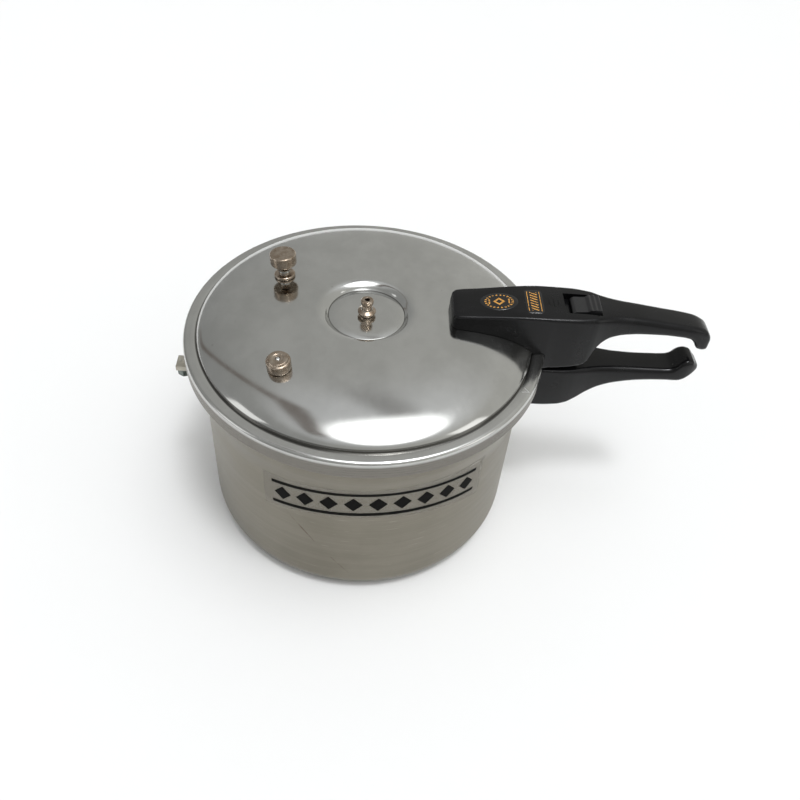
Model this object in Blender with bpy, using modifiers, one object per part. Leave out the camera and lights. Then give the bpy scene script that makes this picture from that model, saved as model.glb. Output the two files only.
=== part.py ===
"""Stovetop pressure cooker: aluminium pot, twist-lock lid, twin phenolic handles, valves.

Metres, +Z up.  The origin is the centre of the pot's resting face and +X runs along the long
handles.  Heights written as "over the rim" are measured from RIM_Z, the widest line of the lid.
"""
import math

import bmesh
import bpy
import numpy as np
from mathutils import Matrix, Vector

MM = 0.001
GAP = 0.3 * MM                 # air left between two touching pieces

# Pot
BODY_R = 123.5 * MM            # outside of the straight wall
WALL = 2.5 * MM
BASE_THICK = 3.0 * MM
CORNER_R = 17.0 * MM
INNER_CORNER_R = 14.0 * MM
NECK_R = 128.4 * MM            # the wall flares out to this under the rim
NECK_LOW_Z = 116.0 * MM
NECK_TOP_Z = 150.0 * MM
POT_TOP_Z = 160.0 * MM         # sealing face of the pot

# Bayonet: eight lugs on the pot, eight in-turned tabs on the lid
LUG_COUNT = 8
LUG_R = 132.0 * MM
LUG_THICK = 2.2 * MM
LUG_HALF_ANGLE = math.radians(9.5)
TAB_R = 129.4 * MM
TAB_HALF_ANGLE = math.radians(9.0)

# Lid
RIM_Z = 166.0 * MM             # height of the lid's widest line
RIM_R = 135.0 * MM
SHEET = 2.2 * MM
SKIRT_DROP = 11.5 * MM         # bottom of the skirt, under the rim line
FLANGE_RISE = 3.0 * MM         # flat flange, over the rim line
DOME_R = 125.5 * MM            # groove between the flange and the dome
DOME_FOOT = 3.4 * MM
DOME_RISE = 16.0 * MM
DOME_SQUARENESS = 4.5
DOME_ROUNDNESS = 0.62
WELL_R = 28.5 * MM             # flat well in the middle that holds the vent pipe
WELL_RISE = 14.6 * MM
WELL_SHOULDER_R = 38.0 * MM
WELL_LIP = ((29.2, 14.9), (31.0, 16.6), (33.5, 18.3), (35.8, 19.1))

# Places of the lid's fittings
RELIEF_AT = (-64.0 * MM, 37.0 * MM)
FUSE_AT = (-58.0 * MM, -64.2 * MM)
HANDLE_SCREWS_AT = ((78.0 * MM, 0.0), (93.0 * MM, 0.0))

# Handles: stations along +X, in mm, with heights over the rim line.
# (x, underside, top, half width at the underside, half width at the top)
LID_HANDLE = (
    (61.8, -13.0, 25.0, 13.0, 11.0), (63.2, -13.0, 28.6, 16.8, 14.8), (66.5, -13.0, 29.9, 18.6, 16.6),
    (84.0, -13.0, 31.5, 21.0, 17.6), (100.0, -13.0, 33.0, 23.0, 18.6), (117.0, -13.0, 34.2, 25.5, 19.7),
    (128.0, -13.0, 34.5, 23.5, 20.3), (140.0, -13.0, 34.5, 20.7, 20.5), (152.0, -12.2, 34.4, 20.4, 20.3),
    (165.0, -10.5, 34.0, 18.6, 18.6), (168.0, -5.5, 33.8, 17.8, 18.0), (171.0, 2.0, 33.4, 16.6, 17.0),
    (175.0, 7.8, 33.0, 15.2, 15.8), (182.0, 12.4, 32.4, 13.6, 14.2), (192.0, 14.8, 31.4, 12.7, 13.0),
    (205.0, 15.8, 29.9, 12.3, 12.4), (220.0, 15.7, 27.7, 12.0, 12.0), (235.0, 14.5, 25.5, 11.6, 11.6),
    (243.0, 12.7, 24.2, 11.2, 11.2), (247.5, 8.8, 23.2, 10.7, 10.7), (251.5, 3.0, 21.6, 10.0, 10.0),
    (255.5, 1.8, 19.0, 9.2, 9.2), (258.3, 2.2, 15.4, 8.2, 8.2), (259.6, 3.8, 12.0, 6.6, 6.6))
POT_HANDLE = (
    (119.0, -53.4, -16.0, 19.6, 19.6), (137.0, -53.8, -16.0, 19.8, 20.0), (152.0, -53.9, -16.1, 19.0, 19.8),
    (160.0, -52.8, -16.2, 17.8, 18.8), (167.0, -49.4, -16.4, 16.2, 17.2), (175.0, -43.8, -16.8, 14.4, 15.2),
    (184.0, -38.8, -17.2, 13.0, 13.6), (197.0, -34.6, -17.8, 12.0, 12.2), (215.0, -31.4, -18.2, 11.5, 11.6),
    (230.0, -30.0, -18.2, 11.5, 11.6), (237.0, -29.7, -17.7, 11.5, 11.6), (240.5, -29.9, -16.2, 11.5, 11.6),
    (245.0, -30.0, -11.0, 11.4, 11.4), (249.5, -28.8, -9.0, 10.9, 10.9), (253.0, -26.2, -9.6, 10.0, 10.0),
    (256.2, -23.0, -12.8, 8.6, 8.6), (258.5, -20.6, -15.0, 6.8, 6.8))
SECTION_ROUNDING = 3.4         # mm, corner radius of the handles' sections

# Lock: a thumb slider on the lid handle drives a bar into a pocket in the pot handle
LOCK_TRAVEL = 5.0 * MM
BUTTON_X = (150.0 * MM, 171.0 * MM)
BUTTON_HALF_Y = 9.0 * MM
BAR_X = (156.0 * MM, 160.0 * MM)
BAR_HALF_Y = 2.5 * MM
BAR_FOOT_Z = -22.0 * MM        # over the rim line
RECESS_FLOOR_Z = 29.0 * MM     # over the rim line
RECESS_HALF_Y = 11.4 * MM
SPRING_COIL_R = 3.2 * MM
SPRING_WIRE_R = 0.45 * MM
SPRING_Z = (-16.6 * MM, -9.8 * MM)
SPRING_TURNS = 3.5
SPRING_POINTS_PER_TURN = 12

# Screws, rivets and the bare helper bracket opposite the handles, heights over the rim line
RIVET_R = 2.4 * MM
RIVET_HEAD_R = 4.6 * MM
RIVET_Y = 9.0 * MM
RIVET_Z = RIM_Z - 36.0 * MM
RIVET_OUTER_HEAD_R = 4.2 * MM
RIVET_SIDES = 16
SADDLE_X = 131.0 * MM          # outer face of both riveted saddles
SADDLE_HALF_Y = 15.0 * MM
SADDLE_Z = (-50.0 * MM, -22.0 * MM)
TONGUE_HALF_Y = 5.5 * MM       # flat tongue that carries the pot handle
TONGUE_Z = (-40.0 * MM, -33.0 * MM)
TONGUE_END_X = 163.0 * MM
FIT = 0.4 * MM                 # air round the saddle and its tongue in the handle
HELPER_BOLT_X = -142.3 * MM
HELPER_EAR_X = -147.0 * MM
HANDLE_SCREW_X = 150.0 * MM

BIG_STEPS = 48                 # facets around the pot, the lid and the seal
SMALL_STEPS = 20               # facets around small turned pieces
SCREW_STEPS = 16
KNOB_STEPS = 24


# ---------------------------------------------------------------- scene and materials

for old in list(bpy.data.objects):
    bpy.data.objects.remove(old, do_unlink=True)

parts = bpy.data.collections.new("pressure_cooker")
cutters = bpy.data.collections.new("cutters")
bpy.context.scene.collection.children.link(parts)
bpy.context.scene.collection.children.link(cutters)


def make_material(name, colour, roughness, metallic):
    """A Principled material with one colour."""
    made = bpy.data.materials.new(name)
    made.use_nodes = True
    shader = made.node_tree.nodes["Principled BSDF"]
    shader.inputs["Base Color"].default_value = (*colour, 1.0)
    shader.inputs["Roughness"].default_value = roughness
    shader.inputs["Metallic"].default_value = metallic
    return made


FINISHES = {
    "pot_aluminium": ((0.52, 0.50, 0.44), 0.38, 1.0),
    "lid_aluminium": ((0.62, 0.62, 0.60), 0.16, 1.0),
    "cast_aluminium": ((0.58, 0.55, 0.47), 0.50, 1.0),
    "rivet_aluminium": ((0.66, 0.66, 0.65), 0.30, 1.0),
    "nickel_brass": ((0.52, 0.44, 0.36), 0.26, 1.0),
    "fuse_tin": ((0.72, 0.72, 0.72), 0.35, 1.0),
    "zinc_steel": ((0.20, 0.22, 0.22), 0.45, 1.0),
    "plated_steel": ((0.60, 0.60, 0.60), 0.28, 1.0),
    "spring_steel": ((0.55, 0.55, 0.56), 0.30, 1.0),
    "phenolic": ((0.018, 0.018, 0.020), 0.32, 0.0),
    "button_plastic": ((0.012, 0.012, 0.013), 0.40, 0.0),
    "seal_rubber": ((0.46, 0.46, 0.44), 0.60, 0.0),
    "fibre": ((0.30, 0.10, 0.06), 0.70, 0.0),
}


# ---------------------------------------------------------------- shape helpers

def add_part(name, mesh, finish, parent, place=Matrix.Identity(4)):
    """Put a mesh in the scene as one named piece with a material of its own."""
    piece = bpy.data.objects.new(name, mesh)
    parts.objects.link(piece)
    mesh.materials.clear()
    mesh.materials.append(make_material(name + "_" + finish, *FINISHES[finish]))
    piece.parent = parent
    piece.matrix_world = place
    return piece


def add_cutter(name, mesh, place=Matrix.Identity(4)):
    """Put a mesh in the scene as a tool that only cuts or joins other pieces."""
    tool = bpy.data.objects.new(name, mesh)
    cutters.objects.link(tool)
    tool.matrix_world = place
    tool.hide_render = True
    tool.display_type = "WIRE"
    return tool


def boolean(piece, tool, operation="DIFFERENCE"):
    """Cut, join or intersect a piece with a tool."""
    step = piece.modifiers.new(operation.lower(), "BOOLEAN")
    step.operation = operation
    step.solver = "EXACT"
    step.object = tool


def profile_mesh(name, points, closed):
    """Edges through (radius, height) points in the XZ plane, ready to be turned."""
    mesh = bpy.data.meshes.new(name)
    count = len(points)
    last = count if closed else count - 1
    edges = [(i, (i + 1) % count) for i in range(last)]
    mesh.from_pydata([(radius, 0.0, height) for radius, height in points], edges, [])
    return mesh


def turn(piece, steps):
    """Turn a profile about Z."""
    screw = piece.modifiers.new("turn", "SCREW")
    screw.steps = steps
    screw.render_steps = steps
    screw.use_merge_vertices = True
    screw.merge_threshold = 0.00001
    screw.use_smooth_shade = True
    return piece


def turned_part(name, points, finish, parent, steps, closed, place=Matrix.Identity(4)):
    """A piece turned from a profile that runs down its outer side."""
    return turn(add_part(name, profile_mesh(name, points, closed), finish, parent, place), steps)


def in_mm(profile):
    """A profile whose points are written in millimetres."""
    return [(radius * MM, height * MM) for radius, height in profile]


def turned_cutter(name, points, steps, place=Matrix.Identity(4)):
    """A solid cutter turned from a profile that starts and ends on the axis."""
    return turn(add_cutter(name, profile_mesh(name, points, False), place), steps)


def smooth(mesh, angle=35.0):
    """Shade a mesh smooth, with its sharp edges kept."""
    mesh.shade_smooth()
    mesh.set_sharp_from_angle(angle=math.radians(angle))
    return mesh


def box_mesh(name, low, high):
    """A box between two corners."""
    shape = bmesh.new()
    size = [high[i] - low[i] for i in range(3)]
    centre = [(high[i] + low[i]) / 2 for i in range(3)]
    place = Matrix.Translation(centre) @ Matrix.Diagonal((*size, 1.0))
    bmesh.ops.create_cube(shape, size=1.0, matrix=place)
    return finished_mesh(name, shape)


def rod_mesh(name, rods, sides=SMALL_STEPS):
    """Cylinders, each given as (start, end, radius); they may not touch each other."""
    shape = bmesh.new()
    for start, end, radius in rods:
        start, end = Vector(start), Vector(end)
        turn_to_axis = (end - start).to_track_quat("Z", "Y").to_matrix().to_4x4()
        bmesh.ops.create_cone(shape, cap_ends=True, segments=sides, radius1=radius, radius2=radius,
                              depth=(end - start).length,
                              matrix=Matrix.Translation((start + end) / 2) @ turn_to_axis)
    return finished_mesh(name, shape)


def finished_mesh(name, shape):
    """Turn a bmesh into a mesh and free it."""
    mesh = bpy.data.meshes.new(name)
    shape.to_mesh(mesh)
    shape.free()
    return mesh


def outline_mesh(name, outlines, low_z, high_z):
    """Flat outlines in XY, filled and given thickness between two heights."""
    curve = bpy.data.curves.new(name, "CURVE")
    curve.dimensions = "2D"
    curve.fill_mode = "BOTH"
    curve.extrude = (high_z - low_z) / 2
    for outline in outlines:
        spline = curve.splines.new("POLY")
        spline.points.add(len(outline) - 1)
        for point, (x, y) in zip(spline.points, outline):
            point.co = (x, y, 0.0, 1.0)
        spline.use_cyclic_u = True
    holder = bpy.data.objects.new(name, curve)
    cutters.objects.link(holder)
    bpy.context.view_layer.update()
    ready = holder.evaluated_get(bpy.context.evaluated_depsgraph_get())
    mesh = bpy.data.meshes.new_from_object(ready)
    bpy.data.objects.remove(holder, do_unlink=True)
    shape = bmesh.new()
    shape.from_mesh(mesh)
    bmesh.ops.remove_doubles(shape, verts=shape.verts, dist=0.00001)
    bmesh.ops.translate(shape, verts=shape.verts, vec=(0.0, 0.0, (low_z + high_z) / 2))
    bpy.data.meshes.remove(mesh)
    return finished_mesh(name, shape)


def ring_sector(inner, outer, start, end, steps=6):
    """Outline of a piece of a ring between two radii and two angles."""
    angles = np.linspace(start, end, steps + 1)
    out = [(outer * math.cos(a), outer * math.sin(a)) for a in angles]
    back = [(inner * math.cos(a), inner * math.sin(a)) for a in angles[::-1]]
    return out + back


def arc(centre, radius, start, end, count):
    """Points of an arc, with angles in degrees."""
    angles = np.radians(np.linspace(start, end, count))
    return [(centre[0] + radius * math.cos(a), centre[1] + radius * math.sin(a)) for a in angles]


def offset(points, distance):
    """A polyline moved sideways, to the left of its direction, by a distance."""
    path = np.array(points)
    direction = np.gradient(path, axis=0)
    direction /= np.linalg.norm(direction, axis=1)[:, None]
    side = np.stack([-direction[:, 1], direction[:, 0]], axis=1)
    return [tuple(point) for point in path + distance * side]


def loft_mesh(name, stations):
    """A handle: rounded four-sided sections joined along X, from stations in mm."""
    shape = bmesh.new()
    rings = []
    for x, low, high, low_half, high_half in stations:
        corners = ((-low_half, low, 180.0), (low_half, low, 270.0),
                   (high_half, high, 0.0), (-high_half, high, 90.0))
        radius = min(SECTION_ROUNDING, 0.45 * (high - low), 0.45 * low_half)
        ring = []
        for y, z, start in corners:
            centre = (y - math.copysign(radius, y), z + (radius if z == low else -radius))
            ring += arc(centre, radius, start, start + 90.0, 4)
        rings.append([shape.verts.new((x * MM, y * MM, z * MM + RIM_Z)) for y, z in ring])
    for before, after in zip(rings, rings[1:]):
        for i in range(len(before)):
            j = (i + 1) % len(before)
            shape.faces.new((before[i], before[j], after[j], after[i]))
    shape.faces.new(rings[0][::-1])
    shape.faces.new(rings[-1])
    bmesh.ops.recalc_face_normals(shape, faces=shape.faces)
    return smooth(finished_mesh(name, shape))


def hex_nut(name, finish, parent, place, flat_r, hole_r, low_z, high_z):
    """A hexagon nut with a plain bore; flat_r is half the width across flats."""
    corner_r = flat_r / math.cos(math.pi / 6)
    body = rod_mesh(name, [((0, 0, low_z), (0, 0, high_z), corner_r)], sides=6)
    nut = add_part(name, body, finish, parent, place)
    bore = rod_mesh(name + "_bore", [((0, 0, low_z - 0.01), (0, 0, high_z + 0.01), hole_r)])
    boolean(nut, add_cutter(name + "_bore", bore, place))
    return nut


def washer(name, finish, parent, place, inner, outer, low_z, high_z):
    """A flat ring."""
    ring = [(inner, high_z), (outer, high_z), (outer, low_z), (inner, low_z)]
    return turned_part(name, ring, finish, parent, SMALL_STEPS, True, place)


# ---------------------------------------------------------------- profiles of the pot and the lid

def neck_radius(height):
    """Outer radius of the pot's wall where it flares under the rim."""
    t = min(max((height - NECK_LOW_Z) / (NECK_TOP_Z - NECK_LOW_Z), 0.0), 1.0)
    return BODY_R + (NECK_R - BODY_R) * t * t * (3 - 2 * t)


def dome_height(radius):
    """Height of the lid's crown over the rim line: a squared-off dome."""
    fullness = 1.0 - (radius / DOME_R) ** DOME_SQUARENESS
    return DOME_FOOT + DOME_RISE * max(fullness, 0.0) ** DOME_ROUNDNESS


NECK_HEIGHTS = [float(z) for z in np.linspace(NECK_TOP_Z, NECK_LOW_Z, 8)]
NECK_POINTS = [(neck_radius(z), z) for z in NECK_HEIGHTS]
DOME_RADII = [float(r) for r in np.linspace(46.0, 98.0, 6) * MM]
DOME_RADII += [float(r) for r in np.array((104.0, 110.0, 115.0, 119.0, 122.0, 124.0, 125.1)) * MM]
CROWN = [(0.0, WELL_RISE), (WELL_R, WELL_RISE)] + in_mm(WELL_LIP)
CROWN += [(WELL_SHOULDER_R, dome_height(WELL_SHOULDER_R))] + [(r, dome_height(r)) for r in DOME_RADII]


def dome_frame(x, y):
    """Where a fitting stands on the crown: on its outer face, with local Z along its normal."""
    radius = math.hypot(x, y)
    step = 0.5 * MM
    slope = (dome_height(radius + step) - dome_height(radius - step)) / (2 * step)
    normal = Vector((-slope * x / radius, -slope * y / radius, 1.0)).normalized()
    spot = Vector((x, y, RIM_Z + dome_height(radius)))
    return Matrix.Translation(spot) @ normal.to_track_quat("Z", "Y").to_matrix().to_4x4()


def axis_empty(name, parent, place=Matrix.Identity(4)):
    """An empty on a joint's axis, which carries what moves with it."""
    empty = bpy.data.objects.new(name, None)
    parts.objects.link(empty)
    empty.parent = parent
    empty.matrix_world = place
    return empty


RELIEF_FRAME = dome_frame(*RELIEF_AT)
FUSE_FRAME = dome_frame(*FUSE_AT)
RIM_FRAME = Matrix.Translation((0.0, 0.0, RIM_Z))
WELL_FRAME = Matrix.Translation((0.0, 0.0, RIM_Z + WELL_RISE))

pot_root = axis_empty("pot_axis", None)
seal_root = axis_empty("lift_axis", pot_root)
lid_root = axis_empty("turn_axis", seal_root)
lock_root = axis_empty("lock_axis", lid_root)
relief_root = axis_empty("relief_axis", lid_root, RELIEF_FRAME)


# ---------------------------------------------------------------- pot

inner_neck = [(radius - WALL, height) for radius, height in NECK_POINTS[::-1]]
inner_corner_centre = (BODY_R - WALL - INNER_CORNER_R, BASE_THICK + INNER_CORNER_R)
inner_corner = arc(inner_corner_centre, INNER_CORNER_R, -90, 0, 5)
outer_corner = arc((BODY_R - CORNER_R, CORNER_R), CORNER_R, 0, -90, 6)
pot_profile = [(0.0, BASE_THICK)] + inner_corner + inner_neck
pot_profile += [(NECK_R - WALL, POT_TOP_Z), (LUG_R, POT_TOP_Z), (LUG_R, POT_TOP_Z - LUG_THICK)]
pot_profile += [(NECK_R, POT_TOP_Z - LUG_THICK)] + NECK_POINTS + outer_corner + [(0.0, 0.0)]
pot_shell = turned_part("pot_shell", pot_profile, "pot_aluminium", pot_root, BIG_STEPS, False)


def bayonet_gaps(name, inner, outer, half_angle, low_z, high_z):
    """Cutter for the spaces between lugs that are centred on every eighth of a turn."""
    pitch = 2 * math.pi / LUG_COUNT
    sectors = [ring_sector(inner, outer, k * pitch + half_angle, (k + 1) * pitch - half_angle)
               for k in range(LUG_COUNT)]
    return add_cutter(name, outline_mesh(name, sectors, low_z, high_z))


boolean(pot_shell, bayonet_gaps("pot_lug_gaps", NECK_R + 0.4 * MM, LUG_R + 5 * MM, LUG_HALF_ANGLE,
                                POT_TOP_Z - LUG_THICK - 1 * MM, POT_TOP_Z + 1 * MM))


def rivet_rod(side, rivet_y, start_x, end_x, radius):
    """A rod on a rivet's axis, between two distances from the pot's axis."""
    return ((side * start_x, rivet_y, RIVET_Z), (side * end_x, rivet_y, RIVET_Z), radius)


rivet_holes = [rivet_rod(side, rivet_y, 110 * MM, 140 * MM, RIVET_R + GAP)
               for side in (1, -1) for rivet_y in (RIVET_Y, -RIVET_Y)]
hole_tool = add_cutter("rivet_holes", rod_mesh("rivet_holes", rivet_holes, RIVET_SIDES))
boolean(pot_shell, hole_tool)

# Solids that stand for the pot's outside and its inside, each with the usual gap
TOOL_TOP_Z = 170.0 * MM
TOOL_LOW_Z = 80.0 * MM


def wall_tool(name, shift):
    """A solid as wide as the pot's outside, plus a shift, from half its height up."""
    neck = [(radius + shift, height) for radius, height in NECK_POINTS]
    profile = [(0.0, TOOL_TOP_Z), (NECK_R + shift, TOOL_TOP_Z)] + neck
    profile += [(BODY_R + shift, TOOL_LOW_Z), (0.0, TOOL_LOW_Z)]
    return turned_cutter(name, profile, BIG_STEPS)


pot_outside = wall_tool("pot_outside", GAP)
pot_inside = wall_tool("pot_inside", -WALL - GAP)


# ---------------------------------------------------------------- riveted saddles on the pot

def saddle(name, side, half_y, low_z, high_z, extra):
    """A cast block that fits the pot's wall, joined with the shapes that stick out of it."""
    ends = sorted((side * 118 * MM, side * SADDLE_X))
    block = box_mesh(name, (ends[0], -half_y, RIM_Z + low_z), (ends[1], half_y, RIM_Z + high_z))
    piece = add_part(name, block, "cast_aluminium", pot_root)
    boolean(piece, pot_outside)
    for number, tool_mesh in enumerate(extra):
        boolean(piece, add_cutter(f"{name}_extra_{number}", tool_mesh), "UNION")
    boolean(piece, hole_tool)
    return piece


def rivets(prefix, side, has_outer_head):
    """Two rivets that hold a saddle: head inside the pot, shank through the wall."""
    for number, rivet_y in enumerate((RIVET_Y, -RIVET_Y), start=1):
        name = f"{prefix}_{number}"
        head = rivet_rod(side, rivet_y, 119 * MM, 128 * MM, RIVET_HEAD_R)
        piece = add_part(name, rod_mesh(name, [head], RIVET_SIDES), "rivet_aluminium", pot_root)
        boolean(piece, pot_inside, "INTERSECT")
        joined = [("shank", rivet_rod(side, rivet_y, 120.5 * MM, SADDLE_X - GAP, RIVET_R))]
        if has_outer_head:
            link = rivet_rod(side, rivet_y, SADDLE_X - 2 * MM, SADDLE_X + MM, RIVET_R * 0.98)
            outer = rivet_rod(side, rivet_y, SADDLE_X + GAP, SADDLE_X + 2 * MM, RIVET_OUTER_HEAD_R)
            joined += [("link", link), ("outer", outer)]
        for extra, rod in joined:
            tool = add_cutter(f"{name}_{extra}", rod_mesh(f"{name}_{extra}", [rod], RIVET_SIDES))
            boolean(piece, tool, "UNION")


def upright_tool(name, x, low_z, high_z, radius):
    """An upright cylinder in the handles' middle plane, between two heights over the rim."""
    rod = ((x, 0, RIM_Z + low_z), (x, 0, RIM_Z + high_z), radius)
    return add_cutter(name, rod_mesh(name, [rod]))


tongue_low = (SADDLE_X - 2 * MM, -TONGUE_HALF_Y, RIM_Z + TONGUE_Z[0])
tongue_high = (TONGUE_END_X, TONGUE_HALF_Y, RIM_Z + TONGUE_Z[1])
tongue = box_mesh("tongue", tongue_low, tongue_high)
pot_saddle = saddle("pot_handle_bracket", 1, SADDLE_HALF_Y, SADDLE_Z[0], SADDLE_Z[1], [tongue])
screw_hole_tool = upright_tool("tongue_hole", HANDLE_SCREW_X, -60 * MM, -30 * MM, 2.3 * MM)
boolean(pot_saddle, screw_hole_tool)
rivets("pot_handle_rivet", 1, False)

ear = box_mesh("ear", (HELPER_EAR_X, -6.5 * MM, RIM_Z - 46.5 * MM), (-129 * MM, 6.5 * MM, RIM_Z - 42 * MM))
web_outline = [(-129.0 * MM, -29.0 * MM), (HELPER_EAR_X + MM, -43.5 * MM), (-129.0 * MM, -43.5 * MM)]
web = outline_mesh("web", [web_outline], -2.0 * MM, 2.0 * MM)
web.transform(Matrix.Translation((0.0, 0.0, RIM_Z)) @ Matrix.Rotation(math.pi / 2, 4, "X"))
helper = saddle("helper_bracket", -1, 13.5 * MM, -52 * MM, -28 * MM, [ear, web])
boolean(helper, upright_tool("helper_tapping", HELPER_BOLT_X, -50 * MM, -43.2 * MM, 2.4 * MM))
rivets("helper_rivet", -1, True)

head_low = (HELPER_BOLT_X, 0, RIM_Z - 54.6 * MM)
head_high = (HELPER_BOLT_X, 0, RIM_Z - 47.9 * MM)
bolt_head = rod_mesh("helper_bolt", [(head_low, head_high, 5.2 * MM)], 6)
helper_bolt = add_part("helper_bolt", bolt_head, "zinc_steel", pot_root)
bolt_shank = upright_tool("helper_bolt_shank", HELPER_BOLT_X, -49 * MM, -43.6 * MM, 2.1 * MM)
boolean(helper_bolt, bolt_shank, "UNION")
washer("helper_washer", "zinc_steel", pot_root, Matrix.Translation((HELPER_BOLT_X, 0, RIM_Z)),
       2.8 * MM, 5.8 * MM, -47.6 * MM, -46.8 * MM)


# ---------------------------------------------------------------- pot handle

pot_handle = add_part("pot_handle", loft_mesh("pot_handle", POT_HANDLE), "phenolic", pot_root)
boolean(pot_handle, pot_outside)
pocket_low = (118 * MM, -SADDLE_HALF_Y - FIT, RIM_Z + SADDLE_Z[0] - FIT)
pocket_high = (SADDLE_X + FIT, SADDLE_HALF_Y + FIT, RIM_Z + SADDLE_Z[1] + FIT)
boolean(pot_handle, add_cutter("saddle_pocket", box_mesh("saddle_pocket", pocket_low, pocket_high)))
socket_low = (SADDLE_X - MM, -TONGUE_HALF_Y - FIT, RIM_Z + TONGUE_Z[0] - FIT)
socket_high = (TONGUE_END_X + FIT, TONGUE_HALF_Y + FIT, RIM_Z + TONGUE_Z[1] + FIT)
boolean(pot_handle, add_cutter("tongue_socket", box_mesh("tongue_socket", socket_low, socket_high)))
boolean(pot_handle, screw_hole_tool)
boolean(pot_handle, upright_tool("counterbore", HANDLE_SCREW_X, -70 * MM, -50 * MM, 4.7 * MM))

# The lock bar's foot swings out through a curved groove, and is held in a pocket beside it
groove = ring_sector(BAR_X[0] - 0.8 * MM, BAR_X[1] + MM, math.radians(-1.7), math.radians(12.0), 8)
groove_mesh = outline_mesh("lock_groove", [groove], RIM_Z - 24 * MM, RIM_Z - 10 * MM)
boolean(pot_handle, add_cutter("lock_groove", groove_mesh))
held_low = (BAR_X[0] - LOCK_TRAVEL - 0.8 * MM, -BAR_HALF_Y - 0.7 * MM, RIM_Z - 24.0 * MM)
held_high = (BAR_X[0] + MM, BAR_HALF_Y + 0.7 * MM, RIM_Z - 11.0 * MM)
boolean(pot_handle, add_cutter("lock_pocket", box_mesh("lock_pocket", held_low, held_high)))

screw_profile = [(0.0, -30.5), (1.6, -30.5), (2.0, -31.0), (2.0, -50.3), (4.2, -50.3), (4.2, -52.6),
                 (3.2, -53.6), (0.0, -53.6)]
turned_part("pot_handle_screw", in_mm(screw_profile), "plated_steel", pot_root, SCREW_STEPS, False,
            Matrix.Translation((HANDLE_SCREW_X, 0.0, RIM_Z)))


# ---------------------------------------------------------------- sealing ring

seal_profile = [(124.6, 0.5), (131.8, 0.5), (132.3, 0.0), (132.3, -5.0), (131.6, -5.7), (124.6, -5.7),
                (124.2, -4.4), (128.6, -3.9), (128.6, -1.3), (124.2, -0.8)]
turned_part("sealing_ring", in_mm(seal_profile), "seal_rubber", seal_root, BIG_STEPS, True, RIM_FRAME)


# ---------------------------------------------------------------- lid

under_crown = offset(CROWN[1:], -SHEET)
lid_profile = CROWN + [(DOME_R, FLANGE_RISE), (132.2 * MM, FLANGE_RISE)]
lid_profile += arc((RIM_R - 2.8 * MM, 0.2 * MM), 2.8 * MM, 65, 0, 4)
lid_profile += [(RIM_R, -SKIRT_DROP + 0.8 * MM), (RIM_R - 0.8 * MM, -SKIRT_DROP), (TAB_R, -SKIRT_DROP)]
lid_profile += [(TAB_R, -SKIRT_DROP + SHEET), (RIM_R - SHEET, -SKIRT_DROP + SHEET), (RIM_R - SHEET, 0.0)]
lid_profile += [(RIM_R - SHEET - 0.8 * MM, FLANGE_RISE - SHEET), (DOME_R - SHEET, FLANGE_RISE - SHEET)]
lid_profile += [point for point in under_crown[::-1] if point[1] > FLANGE_RISE - SHEET + 0.5 * MM]
lid_profile += [(0.0, WELL_RISE - SHEET)]
lid_shell = turned_part("lid_shell", lid_profile, "lid_aluminium", lid_root, BIG_STEPS, False, RIM_FRAME)
boolean(lid_shell, bayonet_gaps("lid_tab_gaps", TAB_R - 3 * MM, RIM_R - SHEET + 0.1 * MM, TAB_HALF_ANGLE,
                                RIM_Z - SKIRT_DROP - MM, RIM_Z - SKIRT_DROP + SHEET + 0.2 * MM))
for hole_name, frame, hole_r in (("vent_hole", WELL_FRAME, 4.3 * MM), ("relief_hole", RELIEF_FRAME, 4.5 * MM),
                                 ("fuse_hole", FUSE_FRAME, 5.5 * MM)):
    hole = rod_mesh(hole_name, [((0, 0, -8 * MM), (0, 0, 8 * MM), hole_r)])
    boolean(lid_shell, add_cutter(hole_name, hole, frame))

above = [(r, z) for r, z in offset(CROWN, GAP) if r > 0]
keep_clear = [(0.0, WELL_RISE + GAP)] + above
keep_clear += [(DOME_R + GAP, FLANGE_RISE + GAP), (132.4 * MM, FLANGE_RISE + GAP)]
keep_clear += arc((RIM_R - 2.8 * MM, 0.2 * MM), 2.8 * MM + GAP + 0.1 * MM, 65, 0, 4)
keep_clear += [(RIM_R + 0.4 * MM, -30 * MM), (0.0, -30 * MM)]
lid_outside = turned_cutter("lid_outside", keep_clear, BIG_STEPS, RIM_FRAME)


# ---------------------------------------------------------------- vent pipe

vent_profile = [(1.9, 14.0), (4.0, 14.0), (4.7, 13.3), (4.7, 11.0), (3.9, 9.6), (3.3, 8.9), (3.8, 8.0),
                (3.9, 7.0), (3.5, 5.9), (4.6, 5.0), (6.7, 3.9), (6.7, 2.6), (5.2, 1.6), (5.2, 0.3),
                (3.9, 0.3), (3.9, -7.6), (3.5, -8.0), (1.9, -8.0)]
turned_part("vent_pipe", in_mm(vent_profile), "nickel_brass", lid_root, SMALL_STEPS, True, WELL_FRAME)
washer("vent_washer", "fibre", lid_root, WELL_FRAME, 4.3 * MM, 6.6 * MM, -3.5 * MM, -2.5 * MM)
hex_nut("vent_nut", "nickel_brass", lid_root, WELL_FRAME, 6.5 * MM, 4.2 * MM, -7.4 * MM, -3.8 * MM)


# ---------------------------------------------------------------- spring-loaded relief valve

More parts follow.
